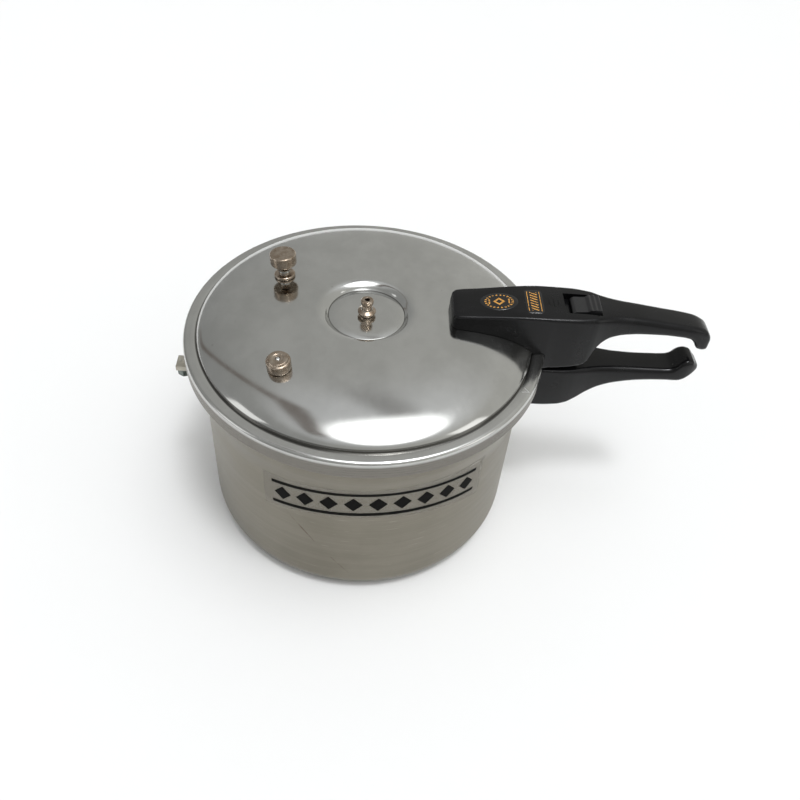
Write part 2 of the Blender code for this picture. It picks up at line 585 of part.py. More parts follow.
seat_profile = [(2.2, 5.8), (3.2, 5.8), (4.3, 5.2), (4.6, 4.4), (4.0, 3.6), (3.4, 3.2), (7.4, 2.4),
                (8.0, 1.9), (8.0, 0.3), (4.1, 0.3), (4.1, -8.6), (3.7, -9.0), (2.2, -9.0)]
turned_part("relief_seat", in_mm(seat_profile), "nickel_brass", lid_root, SMALL_STEPS, True, RELIEF_FRAME)
washer("relief_washer", "fibre", lid_root, RELIEF_FRAME, 4.5 * MM, 7.0 * MM, -3.5 * MM, -2.5 * MM)
hex_nut("relief_nut", "nickel_brass", lid_root, RELIEF_FRAME, 6.5 * MM, 4.4 * MM, -7.8 * MM, -3.8 * MM)

stem_profile = [(0.0, 17.6), (1.3, 17.6), (1.7, 17.2), (1.7, 11.2), (3.3, 10.9), (3.3, 10.0), (1.7, 9.4),
                (1.7, 8.6), (2.9, 7.6), (2.9, 6.4), (1.7, 6.0), (1.7, -19.2), (1.3, -19.6), (0.0, -19.6)]
turned_part("relief_stem", in_mm(stem_profile), "nickel_brass", relief_root, SCREW_STEPS, False,
            RELIEF_FRAME)
knob_profile = [(0.0, 20.2), (9.3, 20.2), (9.9, 19.6), (9.9, 12.1), (9.4, 11.6), (2.0, 11.6), (2.0, 18.0),
                (0.0, 18.0)]
turned_part("relief_knob", in_mm(knob_profile), "nickel_brass", relief_root, KNOB_STEPS, False,
            RELIEF_FRAME)
washer("relief_retainer", "plated_steel", relief_root, RELIEF_FRAME, 2.0 * MM, 4.6 * MM,
       -18.8 * MM, -17.5 * MM)

spring_curve = bpy.data.curves.new("relief_spring", "CURVE")
spring_curve.dimensions = "3D"
spring_curve.bevel_depth = SPRING_WIRE_R
spring_curve.bevel_resolution = 2
spring_curve.use_fill_caps = True
point_count = int(SPRING_TURNS * SPRING_POINTS_PER_TURN) + 1
coil = spring_curve.splines.new("POLY")
coil.points.add(point_count - 1)
for number, point in enumerate(coil.points):
    share = number / (point_count - 1)
    angle = share * SPRING_TURNS * 2 * math.pi
    height = SPRING_Z[0] + (SPRING_Z[1] - SPRING_Z[0]) * share
    point.co = (SPRING_COIL_R * math.cos(angle), SPRING_COIL_R * math.sin(angle), height, 1.0)
relief_spring = bpy.data.objects.new("relief_spring", spring_curve)
parts.objects.link(relief_spring)
spring_curve.materials.append(make_material("relief_spring_steel", *FINISHES["spring_steel"]))
relief_spring.parent = lid_root
relief_spring.matrix_world = RELIEF_FRAME


# ---------------------------------------------------------------- fusible safety plug

plug_profile = [(1.8, 9.2), (3.6, 9.2), (4.0, 9.6), (6.6, 9.6), (7.1, 9.1), (7.3, 8.0), (8.1, 7.8),
                (8.6, 7.2), (8.6, 0.9), (8.0, 0.3), (5.1, 0.3), (5.1, -8.1), (4.7, -8.5), (1.8, -8.5)]
turned_part("fuse_plug", in_mm(plug_profile), "nickel_brass", lid_root, KNOB_STEPS, True, FUSE_FRAME)
alloy_profile = [(0.0, 9.0), (1.5, 9.0), (1.5, -8.3), (0.0, -8.3)]
turned_part("fuse_alloy", in_mm(alloy_profile), "fuse_tin", lid_root, 12, False, FUSE_FRAME)
washer("fuse_washer", "fibre", lid_root, FUSE_FRAME, 5.5 * MM, 8.6 * MM, -3.5 * MM, -2.5 * MM)
hex_nut("fuse_nut", "nickel_brass", lid_root, FUSE_FRAME, 8.5 * MM, 5.4 * MM, -7.6 * MM, -3.8 * MM)


# ---------------------------------------------------------------- lid handle

lid_handle = add_part("lid_handle", loft_mesh("lid_handle", LID_HANDLE), "phenolic", lid_root)
boolean(lid_handle, lid_outside)
recess_low = (BUTTON_X[0] - LOCK_TRAVEL - 0.4 * MM, -RECESS_HALF_Y, RIM_Z + RECESS_FLOOR_Z)
recess_high = (BUTTON_X[1] + 0.5 * MM, RECESS_HALF_Y, RIM_Z + 50 * MM)
boolean(lid_handle, add_cutter("recess", box_mesh("recess", recess_low, recess_high)))
slot_low = (BAR_X[0] - LOCK_TRAVEL - 0.6 * MM, -BAR_HALF_Y - 0.6 * MM, RIM_Z - 20 * MM)
slot_high = (BAR_X[1] + 0.6 * MM, BAR_HALF_Y + 0.6 * MM, RIM_Z + RECESS_FLOOR_Z + 2 * MM)
boolean(lid_handle, add_cutter("bar_slot", box_mesh("bar_slot", slot_low, slot_high)))

thread_profile = [(0.0, 7.5), (1.7, 7.5), (2.1, 7.0), (2.1, -3.8), (4.3, -3.8), (4.3, -5.6), (3.4, -6.6),
                  (0.0, -6.6)]
for number, place in enumerate(HANDLE_SCREWS_AT, start=1):
    frame = dome_frame(*place)
    for name, piece, high_z, bore_r in (("lid_bore", lid_shell, 5 * MM, 2.6 * MM),
                                        ("handle_bore", lid_handle, 8 * MM, 2.5 * MM)):
        name = f"{name}_{number}"
        bore = rod_mesh(name, [((0, 0, -8 * MM), (0, 0, high_z), bore_r)], SCREW_STEPS)
        boolean(piece, add_cutter(name, bore, frame))
    turned_part(f"lid_handle_screw_{number}", in_mm(thread_profile), "plated_steel", lid_root, SCREW_STEPS,
                False, frame)
    washer(f"lid_handle_washer_{number}", "plated_steel", lid_root, frame, 2.5 * MM, 5.6 * MM,
           -3.5 * MM, -2.6 * MM)


# ---------------------------------------------------------------- lock

bar = box_mesh("lock_bar", (BAR_X[0], -BAR_HALF_Y, RIM_Z + BAR_FOOT_Z),
               (BAR_X[1], BAR_HALF_Y, RIM_Z + RECESS_FLOOR_Z + 1.4 * MM))
lock_bar = add_part("lock_bar", bar, "plated_steel", lock_root)
bar_head = box_mesh("bar_head", (BAR_X[0] - 3 * MM, -5.5 * MM, RIM_Z + RECESS_FLOOR_Z + GAP),
                    (BAR_X[1] + 7 * MM, 5.5 * MM, RIM_Z + RECESS_FLOOR_Z + 1.6 * MM))
boolean(lock_bar, add_cutter("bar_head", bar_head), "UNION")

# The slider is a stepped wedge: low at its inner end, with a raised thumb stop at its outer end
near, far = BUTTON_X
button_top = RIM_Z + 36.5 * MM
button_low = RIM_Z + RECESS_FLOOR_Z + 1.9 * MM
button_side = [(near, button_low), (far, button_low), (far, button_top - MM), (far - MM, button_top),
               (near + 13 * MM, button_top), (near + 11 * MM, button_top - 2 * MM),
               (near + 2 * MM, button_top - 2.4 * MM), (near, button_top - 4 * MM)]
button_mesh = outline_mesh("lock_button", [button_side], -BUTTON_HALF_Y, BUTTON_HALF_Y)
button_mesh.transform(Matrix.Rotation(math.pi / 2, 4, "X"))
lock_button = add_part("lock_button", smooth(button_mesh), "button_plastic", lock_root)
rounding = lock_button.modifiers.new("rounding", "BEVEL")
rounding.width = 0.5 * MM
rounding.segments = 2
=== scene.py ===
import bmesh
import bpy
import numpy as np
from mathutils import Matrix, Vector


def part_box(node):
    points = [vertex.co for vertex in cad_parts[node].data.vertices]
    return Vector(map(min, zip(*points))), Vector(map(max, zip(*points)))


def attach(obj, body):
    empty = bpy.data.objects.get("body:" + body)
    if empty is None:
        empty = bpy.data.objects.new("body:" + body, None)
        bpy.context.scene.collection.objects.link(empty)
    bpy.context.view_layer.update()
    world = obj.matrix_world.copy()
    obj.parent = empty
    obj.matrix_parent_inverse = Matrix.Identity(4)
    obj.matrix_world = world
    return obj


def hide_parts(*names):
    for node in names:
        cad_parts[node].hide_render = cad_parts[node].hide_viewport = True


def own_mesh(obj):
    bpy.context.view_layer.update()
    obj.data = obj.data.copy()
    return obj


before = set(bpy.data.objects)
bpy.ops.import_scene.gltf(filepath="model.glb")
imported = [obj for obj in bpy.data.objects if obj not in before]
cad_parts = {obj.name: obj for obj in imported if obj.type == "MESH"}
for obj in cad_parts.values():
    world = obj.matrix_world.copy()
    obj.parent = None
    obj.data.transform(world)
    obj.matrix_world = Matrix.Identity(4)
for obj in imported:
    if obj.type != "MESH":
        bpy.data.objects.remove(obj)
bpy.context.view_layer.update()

MM = 0.001
WHOLE_TURN = 2 * np.pi

# ---------------------------------------------------------------- the pot
# The pot is drawn from one aluminium sheet, 2.5 mm thick: a straight wall with a round bottom
# corner, flared under the rim.  Eight lugs on its turned-out lip hold the lid, and the outside is
# brushed round and round, then stained a little by water.

WALL_R = 123.5
NECK_R = 128.4
SHEET = 2.5
NECK_FOOT, NECK_HEAD = 116.0, 150.0
POT_HEIGHT = 160.0
LUG_R = 132.0
LUG_HALF_ANGLE = np.radians(9.5)
LUG_EDGE = np.radians(0.5)
LUG_PITCH = WHOLE_TURN / 8


class Shade:
    """One socket of a material: sums on it add Math nodes, and node() adds any other node."""

    def __init__(self, tree, socket):
        self.tree = tree
        self.socket = socket

    def node(self, kind, settings, values, output=0):
        """Add a node of a type: its settings first, then the values or links of its sockets."""
        made = self.tree.nodes.new("ShaderNode" + kind)
        for key, value in settings.items():
            setattr(made, key, value)
        for key, value in values.items():
            if isinstance(value, Shade):
                self.tree.links.new(value.socket, made.inputs[key])
            else:
                made.inputs[key].default_value = value
        return Shade(self.tree, made.outputs[output])

    def maths(self, operation, *values):
        return self.node("Math", {"operation": operation}, dict(enumerate(values)))

    def __add__(self, other):
        return self.maths("ADD", self, other)

    def __radd__(self, other):
        return self.maths("ADD", other, self)

    def __sub__(self, other):
        return self.maths("SUBTRACT", self, other)

    def __rsub__(self, other):
        return self.maths("SUBTRACT", other, self)

    def __mul__(self, other):
        return self.maths("MULTIPLY", self, other)

    def __rmul__(self, other):
        return self.maths("MULTIPLY", other, self)

    def __truediv__(self, other):
        return self.maths("DIVIDE", self, other)

    def __pow__(self, other):
        return self.maths("POWER", self, other)

    def __abs__(self):
        return self.maths("ABSOLUTE", self)


def fade(value, start, end):
    """0 where a value is at start or before, 1 at end or past it, and smooth between."""
    settings = {"interpolation_type": "SMOOTHSTEP"}
    return value.node("MapRange", settings, {"Value": value, "From Min": start, "From Max": end})


def line(value, centre, half, soft):
    """1 within half of a centre, and 0 past it by more than a soft edge."""
    return 1 - fade(abs(value - centre), half, half + soft)


def mixed(factor, first, second):
    """A colour that goes from the first to the second."""
    values = {0: factor, 6: first, 7: second}
    return factor.node("Mix", {"data_type": "RGBA"}, values, output=2)


def stretched(spot, scale):
    """Object coordinates, each axis multiplied by its own scale."""
    return spot.node("Mapping", {}, {"Vector": spot, "Scale": scale})


def noise(spot, scale, detail=3.0, roughness=0.55):
    """Cloudy noise from 0 to 1, with features one over scale metres wide."""
    values = {"Vector": spot, "Scale": scale, "Detail": detail, "Roughness": roughness}
    return spot.node("TexNoise", {}, values)


def relief(height, distance, strength=1.0):
    """A normal that shows a height from 0 to 1 as so many metres."""
    return height.node("Bump", {}, {"Strength": strength, "Distance": distance, "Height": height})


def axes(spot):
    """The three coordinates of a point."""
    return [spot.node("SeparateXYZ", {}, {0: spot}, output=axis) for axis in range(3)]


def finish(name, constants, wiring):
    """A Principled material: constants on its sockets, and what varies from wiring(spot)."""
    made = bpy.data.materials.new(name)
    made.use_nodes = True
    tree = made.node_tree
    shader = tree.nodes["Principled BSDF"]
    for socket, value in constants.items():
        shader.inputs[socket].default_value = value
    spot = Shade(tree, tree.nodes.new("ShaderNodeTexCoord").outputs["Object"])
    for socket, value in wiring(spot).items():
        tree.links.new(value.socket, shader.inputs[socket])
    return made


def eased(corners, reach, closed=False, count=5):
    """A profile with its corners eased.

    Each corner P becomes the curve (1-t)(1-t) A + 2t(1-t) P + t t B, where A and B lie on its two
    sides, `reach` away or just short of the middle of a side.  An open profile keeps its ends.
    """
    points = np.array(corners, float)
    reach = np.broadcast_to(reach, len(points))[:, None]
    sides = []
    for shift in (1, -1):
        side = np.roll(points, shift, axis=0) - points
        if not closed:
            side[0 if shift == 1 else -1] = 0.0
        length = np.linalg.norm(side, axis=1, keepdims=True)
        sides.append(points + side / np.maximum(length, 1e-9) * np.minimum(reach, 0.45 * length))
    t = np.linspace(0.0, 1.0, count)[None, :, None]
    start, middle, end = sides[0][:, None], points[:, None], sides[1][:, None]
    curve = (1 - t) ** 2 * start + 2 * t * (1 - t) * middle + t ** 2 * end
    return curve.reshape(-1, 2)


def arc(centre, radius, start, end, count):
    """Profile points on an arc about a centre, with angles in degrees."""
    angles = np.radians(np.linspace(start, end, count))
    return np.stack([centre[0] + radius * np.cos(angles), centre[1] + radius * np.sin(angles)], axis=1)


def surface(name, points, place=None, around=True, along=False, marks=None):
    """A mesh through a grid of points in mm: rows x columns x 3.

    Each cell of the grid is one face.  `around` joins the last column to the first and `along` the
    last row to the first.  Points that coincide, as at a pole, become one, and then all faces are
    turned outwards.  `marks` gives each point a vector of its own, kept as the attribute "marks".
    """
    rows, columns = points.shape[:2]
    index = np.arange(rows * columns).reshape(rows, columns)
    if around:
        index = np.concatenate([index, index[:, :1]], axis=1)
    if along:
        index = np.concatenate([index, index[:1]], axis=0)
    cells = [index[:-1, :-1], index[:-1, 1:], index[1:, 1:], index[1:, :-1]]
    faces = np.stack(cells, axis=-1).reshape(-1, 4)
    spots = points.reshape(-1, 3) * MM
    if place is not None:
        turn = np.array(place)
        spots = spots @ turn[:3, :3].T + turn[:3, 3]
    mesh = bpy.data.meshes.new(name)
    mesh.from_pydata(spots.tolist(), [], faces.tolist())
    if marks is not None:
        layer = mesh.attributes.new("marks", "FLOAT_VECTOR", "POINT")
        layer.data.foreach_set("vector", marks.reshape(-1).astype(np.float32))
    shape = bmesh.new()
    shape.from_mesh(mesh)
    bmesh.ops.remove_doubles(shape, verts=shape.verts, dist=0.000001)
    bmesh.ops.recalc_face_normals(shape, faces=shape.faces)
    shape.to_mesh(mesh)
    shape.free()
    piece = bpy.data.objects.new(name, mesh)
    bpy.context.scene.collection.objects.link(piece)
    shade_smooth(mesh)
    return piece


def shade_smooth(mesh, angle=38.0):
    """Shade a mesh smooth, with its sharp edges kept."""
    mesh.shade_smooth()
    mesh.set_sharp_from_angle(angle=np.radians(angle))


def turned(name, profile, steps=96, place=None, closed=False, angles=None, radii=None):
    """A profile of (radius, height) points carried round an axis.

    Each point is (r cos a, r sin a, height) for every angle a.  `radii` may give every row its own
    radius at every angle.
    """
    if angles is None:
        angles = np.linspace(0.0, WHOLE_TURN, steps, endpoint=False)
    profile = np.array(profile, float)
    if radii is None:
        radii = np.repeat(profile[:, :1], len(angles), axis=1)
    heights = np.repeat(profile[:, 1:], len(angles), axis=1)
    points = np.stack([radii * np.cos(angles), radii * np.sin(angles), heights], axis=-1)
    return surface(name, points, place, along=closed)


def dress(piece, material, body, nodes):
    """Give a piece its finish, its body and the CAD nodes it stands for."""
    piece.data.materials.clear()
    piece.data.materials.append(material)
    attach(piece, body)
    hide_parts(*nodes)
    return piece


def neck_radius(height):
    """Outer radius of the pot's wall: straight, then an S-shaped flare under the rim."""
    t = np.clip((height - NECK_FOOT) / (NECK_HEAD - NECK_FOOT), 0.0, 1.0)
    return WALL_R + (NECK_R - WALL_R) * t * t * (3 - 2 * t)


def eighths(half_angle):
    """Angles for a ring whose eight parts have sharp ends, with their share of each part."""
    ends = LUG_PITCH * np.arange(8)[:, None] + np.array([-half_angle, half_angle])
    ends = np.concatenate([ends, ends + LUG_EDGE * np.array([-1, 1])]).reshape(-1)
    even = np.linspace(0.0, WHOLE_TURN, 320, endpoint=False)
    angles = np.unique(np.round(np.concatenate([even, ends]) % WHOLE_TURN, 6))
    from_centre = np.abs((angles + LUG_PITCH / 2) % LUG_PITCH - LUG_PITCH / 2)
    share = np.clip((half_angle + LUG_EDGE - from_centre) / LUG_EDGE, 0.0, 1.0)
    return angles, share


neck = np.linspace(NECK_HEAD, NECK_FOOT, 24)
outer_neck = np.stack([neck_radius(neck), neck], axis=1)
inner_neck = outer_neck[::-1] - [SHEET, 0.0]
lip = eased([(NECK_R - SHEET, 152.0), (NECK_R - SHEET, POT_HEIGHT), (LUG_R, POT_HEIGHT),
             (LUG_R, POT_HEIGHT - 2.2), (NECK_R, POT_HEIGHT - 2.2), (NECK_R, 152.0)],
            [0, 0.9, 0.7, 0.7, 1.2, 0])
outer_wall = [(WALL_R, height) for height in np.linspace(110.0, 22.0, 12)]
inner_wall = [(WALL_R - SHEET, height) for height in np.linspace(22.0, 110.0, 12)]
floor_inside = [(0.0, 3.0), (30.0, 3.0), (70.0, 3.0), (100.0, 3.0)]
floor_outside = [(104.0, 0.0), (96.0, 0.0), (94.5, 0.5), (70.0, 0.5), (30.0, 0.5), (0.0, 0.5)]
pot_profile = np.concatenate([
    floor_inside, arc((107.0, 17.0), 14.0, -90, 0, 12), inner_wall, inner_neck, lip, outer_neck,
    outer_wall, arc((106.5, 17.0), 17.0, 0, -90, 14), floor_outside])
pot_angles, lug_share = eighths(LUG_HALF_ANGLE)
lip_limit = NECK_R + 0.4 + (LUG_R - NECK_R - 0.4) * lug_share
pot_shell = turned("pot_wall", pot_profile, angles=pot_angles,
                   radii=np.minimum(pot_profile[:, :1], lip_limit[None, :]))


def pot_finish(spot):
    """Brushed aluminium: rings of fine scratches, warm cloudy patches and a dried water line."""
    x, y, z = axes(spot)
    rings = noise(stretched(spot, (9.0, 9.0, 1500.0)), 1.0, 4.0, 0.7)
    bands = noise(stretched(spot, (3.0, 3.0, 90.0)), 1.0, 2.0)
    clouds = noise(spot, 14.0, 4.0)
    blotches = noise(spot, 46.0, 5.0, 0.65)
    scuffs = fade(noise(stretched(spot, (55.0, 55.0, 900.0)), 1.0, 2.0), 0.66, 0.74)
    tone = mixed(fade(clouds, 0.3, 0.7), (0.200, 0.184, 0.148, 1.0), (0.262, 0.244, 0.202, 1.0))
    tone = mixed(fade(rings, 0.25, 0.8) * 0.35, tone, (0.150, 0.136, 0.108, 1.0))
    tone = mixed(fade(bands, 0.45, 0.75) * 0.2, tone, (0.31, 0.29, 0.25, 1.0))
    tone = mixed(scuffs * 0.3, tone, (0.42, 0.40, 0.36, 1.0))
    across = x + 0.0016 * noise(spot, 60.0, 2.0) + 0.0005
    water_line = line(across + (z - 0.026) * 0.75 - 0.0008, -0.0066, 0.0003, 0.0007)
    water_line = water_line * fade(z, 0.020, 0.03) * fade(z, 0.088, 0.08) * fade(y, 0.0, -0.05)
    water_line = water_line * fade(blotches, 0.36, 0.6)
    spots = fade(noise(spot, 150.0, 1.0), 0.74, 0.79) * line(z, 0.036, 0.008, 0.006)
    spots = spots * line(x, -0.020, 0.014, 0.006) * fade(y, 0.0, -0.05)
    tone = mixed(water_line * 0.7 + spots * 0.6, tone, (0.085, 0.045, 0.024, 1.0))
    # darker towards the bottom, over the lowest 12 mm
    tone = mixed(fade(z, 0.012, 0.0) * 0.5, tone, (0.09, 0.08, 0.065, 1.0))
    rough = 0.30 + 0.10 * fade(clouds, 0.35, 0.7) + 0.08 * rings + 0.12 * water_line
    return {"Base Color": tone, "Roughness": rough,
            "Normal": relief(rings + 0.35 * bands + 0.2 * scuffs, 0.00003, 0.55)}


pot_aluminium = finish("brushed pot aluminium", {"Metallic": 1.0}, pot_finish)
dress(pot_shell, pot_aluminium, "pot", ["pot_shell"])

# ---------------------------------------------------------------- printed film on the pot
# A clear film about 160 mm long is stuck to the front of the wall.  It carries a plain printed
# border: a row of diamonds between two rules, in black.

FILM_MIDDLE, FILM_HALF = np.radians(-83.5), np.radians(40.0)
FILM_BACK, FILM_FRONT = 0.08, 0.16
BORDER_HALF = 78.7
BORDER_DROP = 1.2
RULE_AT, RULE_HALF = 11.2, 1.6
DIAMOND_STEP = 17.5
DIAMOND_HALF = (6.9, 7.4)
along_film = np.linspace(-1.0, 1.0, 161)
across_film = np.linspace(0.0, 1.0, 41)
film_top = 129.0 - 5.0 * along_film ** 2 + 2.5 * along_film
film_foot = 95.5 - 12.0 * along_film ** 2 - 1.5 * along_film


def film_skin(lift):
    """One face of the film: the wall's radius plus a lift, between its top and foot curves."""
    height = film_foot + (film_top - film_foot) * across_film[:, None]
    angle = FILM_MIDDLE + FILM_HALF * along_film + 0 * height
    radius = neck_radius(height) + lift
    return np.stack([radius * np.cos(angle), radius * np.sin(angle), height], axis=-1)


def film_marks():
    """For each point, mm along the film and mm up from its middle line."""
    length = WALL_R * FILM_HALF * along_film + 0 * across_film[:, None]
    rise = (film_top - film_foot) * (across_film[:, None] - 0.5)
    return np.stack([length, rise, 0 * rise], axis=-1)


film_points = np.concatenate([film_skin(FILM_BACK), film_skin(FILM_FRONT)[::-1]])
film_cells = np.concatenate([film_marks(), film_marks()[::-1]])
front_film = surface("front_film", film_points, around=False, along=True, marks=film_cells)
ends = bmesh.new()
ends.from_mesh(front_film.data)
bmesh.ops.holes_fill(ends, edges=[edge for edge in ends.edges if edge.is_boundary])
bmesh.ops.recalc_face_normals(ends, faces=ends.faces)
ends.to_mesh(front_film.data)
ends.free()


def film_finish(spot):
    """Clear film, black where it is printed, with worn ink edges."""
    marks = spot.node("Attribute", {"attribute_name": "marks"}, {}, output=1)
    length, rise = axes(marks)[:2]
    grain = noise(spot, 900.0, 2.0)
    rise = rise + BORDER_DROP
    within = 1 - fade(abs(length), BORDER_HALF, BORDER_HALF + 0.2)
    rules = line(abs(rise), RULE_AT, RULE_HALF, 0.15) * within
    cell = spot.node("Math", {"operation": "WRAP"}, {0: length, 1: -DIAMOND_STEP / 2, 2: DIAMOND_STEP / 2})
    diamond = 1 - fade(abs(cell) / DIAMOND_HALF[0] + abs(rise) / DIAMOND_HALF[1], 0.97, 1.0)
    ink = rules.maths("MAXIMUM", rules, diamond * within)
    tone = mixed(ink, (0.36, 0.34, 0.30, 1.0), (0.002, 0.0018, 0.0016, 1.0))
    cover = (0.10 + 0.04 * grain).maths("MAXIMUM", 0.12 + 0.03 * grain, ink)
    return {"Base Color": tone, "Alpha": cover, "Roughness": 0.26 + 0.16 * grain + 0.4 * ink}


film = finish("printed clear film", {"Specular IOR Level": 0.1}, film_finish)
front_film.data.materials.append(film)
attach(front_film, "pot")

# ---------------------------------------------------------------- riveted brackets
# Two saddles of cast aluminium follow the wall, each held by two round-headed aluminium rivets.
# One carries the long pot handle.  The other is a bare bracket for a small helper handle.

SADDLE_FACE = 131.0
RIVET_HEIGHT = 130.0
RIVET_Y = 9.0


def from_solid(name, node, width):
    """A copy of a CAD node, its loose triangles joined and its sharp edges eased."""
    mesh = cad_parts[node].data.copy()
    mesh.name = name
    shape = bmesh.new()
    shape.from_mesh(mesh)
    bmesh.ops.remove_doubles(shape, verts=shape.verts, dist=0.000002)
    bmesh.ops.dissolve_limit(shape, angle_limit=np.radians(1.0), verts=shape.verts, edges=shape.edges)
    shape.to_mesh(mesh)
    shape.free()
    piece = bpy.data.objects.new(name, mesh)
    bpy.context.scene.collection.objects.link(piece)
    rounding = piece.modifiers.new("rounding", "BEVEL")
    rounding.width = width * MM
    rounding.segments = 3
    rounding.limit_method = "ANGLE"
    rounding.angle_limit = np.radians(40.0)
    shade_smooth(mesh)
    return piece


def cast_finish(spot):
    """Cast aluminium: a fine pebbled skin, dull and slightly warm."""
    pebbles = noise(spot, 900.0, 3.0, 0.6)
    clouds = noise(spot, 90.0, 3.0)
    tone = mixed(fade(clouds, 0.3, 0.7), (0.40, 0.375, 0.32, 1.0), (0.56, 0.54, 0.48, 1.0))
    return {"Base Color": tone, "Roughness": 0.42 + 0.18 * pebbles, "Normal": relief(pebbles, 0.00012, 0.5)}


def bright_finish(spot):
    """Drawn aluminium rivets: fine scratches."""
    scratches = noise(stretched(spot, (400.0, 90.0, 1200.0)), 1.0, 3.0)
    tone = mixed(scratches, (0.50, 0.49, 0.47, 1.0), (0.66, 0.65, 0.63, 1.0))
    return {"Base Color": tone, "Roughness": 0.24 + 0.16 * scratches,
            "Normal": relief(scratches, 0.00003, 0.4)}


cast_aluminium = finish("cast aluminium", {"Metallic": 1.0}, cast_finish)
rivet_aluminium = finish("rivet aluminium", {"Metallic": 1.0}, bright_finish)

dress(from_solid("pot_handle_saddle", "pot_handle_bracket", 0.6), cast_aluminium, "pot",
      ["pot_handle_bracket"])
dress(from_solid("helper_saddle", "helper_bracket", 0.8), cast_aluminium, "pot",
      ["helper_bracket"])


def rivet(name, node, side, across, outer_head):
    """A rivet on a radial axis: a domed head in the pot, a shank, and maybe a domed head outside."""
    end = SADDLE_FACE - 0.3
    profile = np.concatenate([[(0.0, 118.9)], arc((0.0, 123.4), 4.5, -90, -24, 8) * [1.02, 1.0],
                              [(4.5, 121.4), (2.4, 121.4), (2.4, end)]])
    if outer_head:
        dome = arc((0.0, end + 0.3), 4.2, 0, 90, 10)
        dome[:, 1] = end + 0.3 + (dome[:, 1] - end - 0.3) * 0.47
        profile = np.concatenate([profile, dome])
    else:
        profile = np.concatenate([profile, [(0.0, end)]])
    spin = Matrix.Rotation(side * np.pi / 2, 4, "Y")
    place = Matrix.Translation((0.0, across * MM, RIVET_HEIGHT * MM)) @ spin
    return dress(turned(name, profile, 40, place), rivet_aluminium, "pot", [node])


for number, across in ((1, RIVET_Y), (2, -RIVET_Y)):
    rivet(f"handle_rivet_{number}", f"pot_handle_rivet_{number}", 1, across, False)
    rivet(f"bracket_rivet_{number}", f"helper_rivet_{number}", -1, across, True)

# ---------------------------------------------------------------- helper bracket's bolt
# A hexagon bolt with a flat washer screws up into the bracket's ear, left there when the helper
# handle was taken off.  Both are steel with a dull, greenish zinc coat.

HELPER_X = -142.3


def zinc_finish(spot):
    """Old zinc plate: dark grey with a green cast, duller in patches."""
    patches = noise(spot, 260.0, 4.0, 0.6)
    tone = mixed(fade(patches, 0.35, 0.65), (0.10, 0.125, 0.12, 1.0), (0.24, 0.26, 0.235, 1.0))
    return {"Base Color": tone, "Roughness": 0.32 + 0.25 * patches, "Normal": relief(patches, 0.00005, 0.4)}


zinc_steel = finish("zinc plated steel", {"Metallic": 1.0}, zinc_finish)


def hexagon(name, profile, half_flats, caps, place, closed):
    """A six-sided turned piece: each row's radius is cut to the hexagon half_flats / cos(a), where
    a is the angle from the middle of a flat, for the rows that `caps` marks."""
    angles = np.linspace(0.0, WHOLE_TURN, 96, endpoint=False)
    from_flat = (angles + np.pi / 6) % (np.pi / 3) - np.pi / 6
    limit = half_flats / np.cos(from_flat)
    profile = np.array(profile, float)
    radii = np.where(np.array(caps)[:, None], np.minimum(profile[:, :1], limit[None, :]), profile[:, :1])
    return turned(name, profile, place=place, closed=closed, angles=angles, radii=radii)


bolt_place = Matrix.Translation((HELPER_X * MM, 0.0, 166.0 * MM))
bolt_profile = [(0.0, -54.6), (4.3, -54.6), (5.2, -54.0), (5.2, -48.3), (4.7, -47.9), (2.1, -47.9),
                (2.1, -43.9), (1.8, -43.6), (0.0, -43.6)]
bolt = hexagon("helper_bolt_head", bolt_profile, 4.5, [0, 1, 1, 1, 1, 0, 0, 0, 0], bolt_place, False)
dress(bolt, zinc_steel, "pot", ["helper_bolt"])


def flat_ring(name, node, inner, outer, low, high, place, material, body):
    """A washer: a flat ring with eased edges."""
    corners = [(inner, high), (outer, high), (outer, low), (inner, low)]
    ring = turned(name, eased(corners, 0.15, closed=True, count=3), 64, place, closed=True)
    return dress(ring, material, body, [node])


flat_ring("helper_bolt_washer", "helper_washer", 2.8, 5.8, -47.6, -46.8, bolt_place, zinc_steel, "pot")

# ---------------------------------------------------------------- the pot handle
# The lower handle is moulded from black phenolic.  Its deep foot hides the saddle's tongue, its
# grip is slim, and its tip turns up.  One screw holds it from below.  The slot on top is where the
# lid's lock bar swings in and is held.

RIM = 166.0
HANDLE_SCREW_X = 150.0
POT_HANDLE = np.array((
    (119.0, -53.4, -16.0, 19.6, 19.6, 2.4), (137.0, -53.8, -16.0, 19.8, 20.0, 2.4),
    (152.0, -53.9, -16.1, 19.0, 19.8, 3.0), (160.0, -52.8, -16.2, 17.8, 18.8, 3.4),
    (167.0, -49.4, -16.4, 16.2, 17.2, 3.8), (175.0, -43.8, -16.8, 14.4, 15.2, 4.2),
    (184.0, -38.8, -17.2, 13.0, 13.6, 4.6), (197.0, -34.6, -17.8, 12.0, 12.2, 4.8),
    (215.0, -31.4, -18.2, 11.5, 11.6, 4.6), (230.0, -30.0, -18.2, 11.5, 11.6, 4.2),
    (237.0, -29.7, -17.7, 11.5, 11.6, 4.0), (240.5, -29.9, -16.2, 11.5, 11.6, 4.2),
    (245.0, -30.0, -11.0, 11.4, 11.4, 4.4), (249.5, -28.8, -9.0, 10.9, 10.9, 4.4),
    (253.0, -26.2, -9.6, 10.0, 10.0, 4.0), (256.2, -23.0, -12.8, 8.6, 8.6, 3.4),
    (258.5, -20.6, -15.0, 6.8, 6.8, 2.4)))


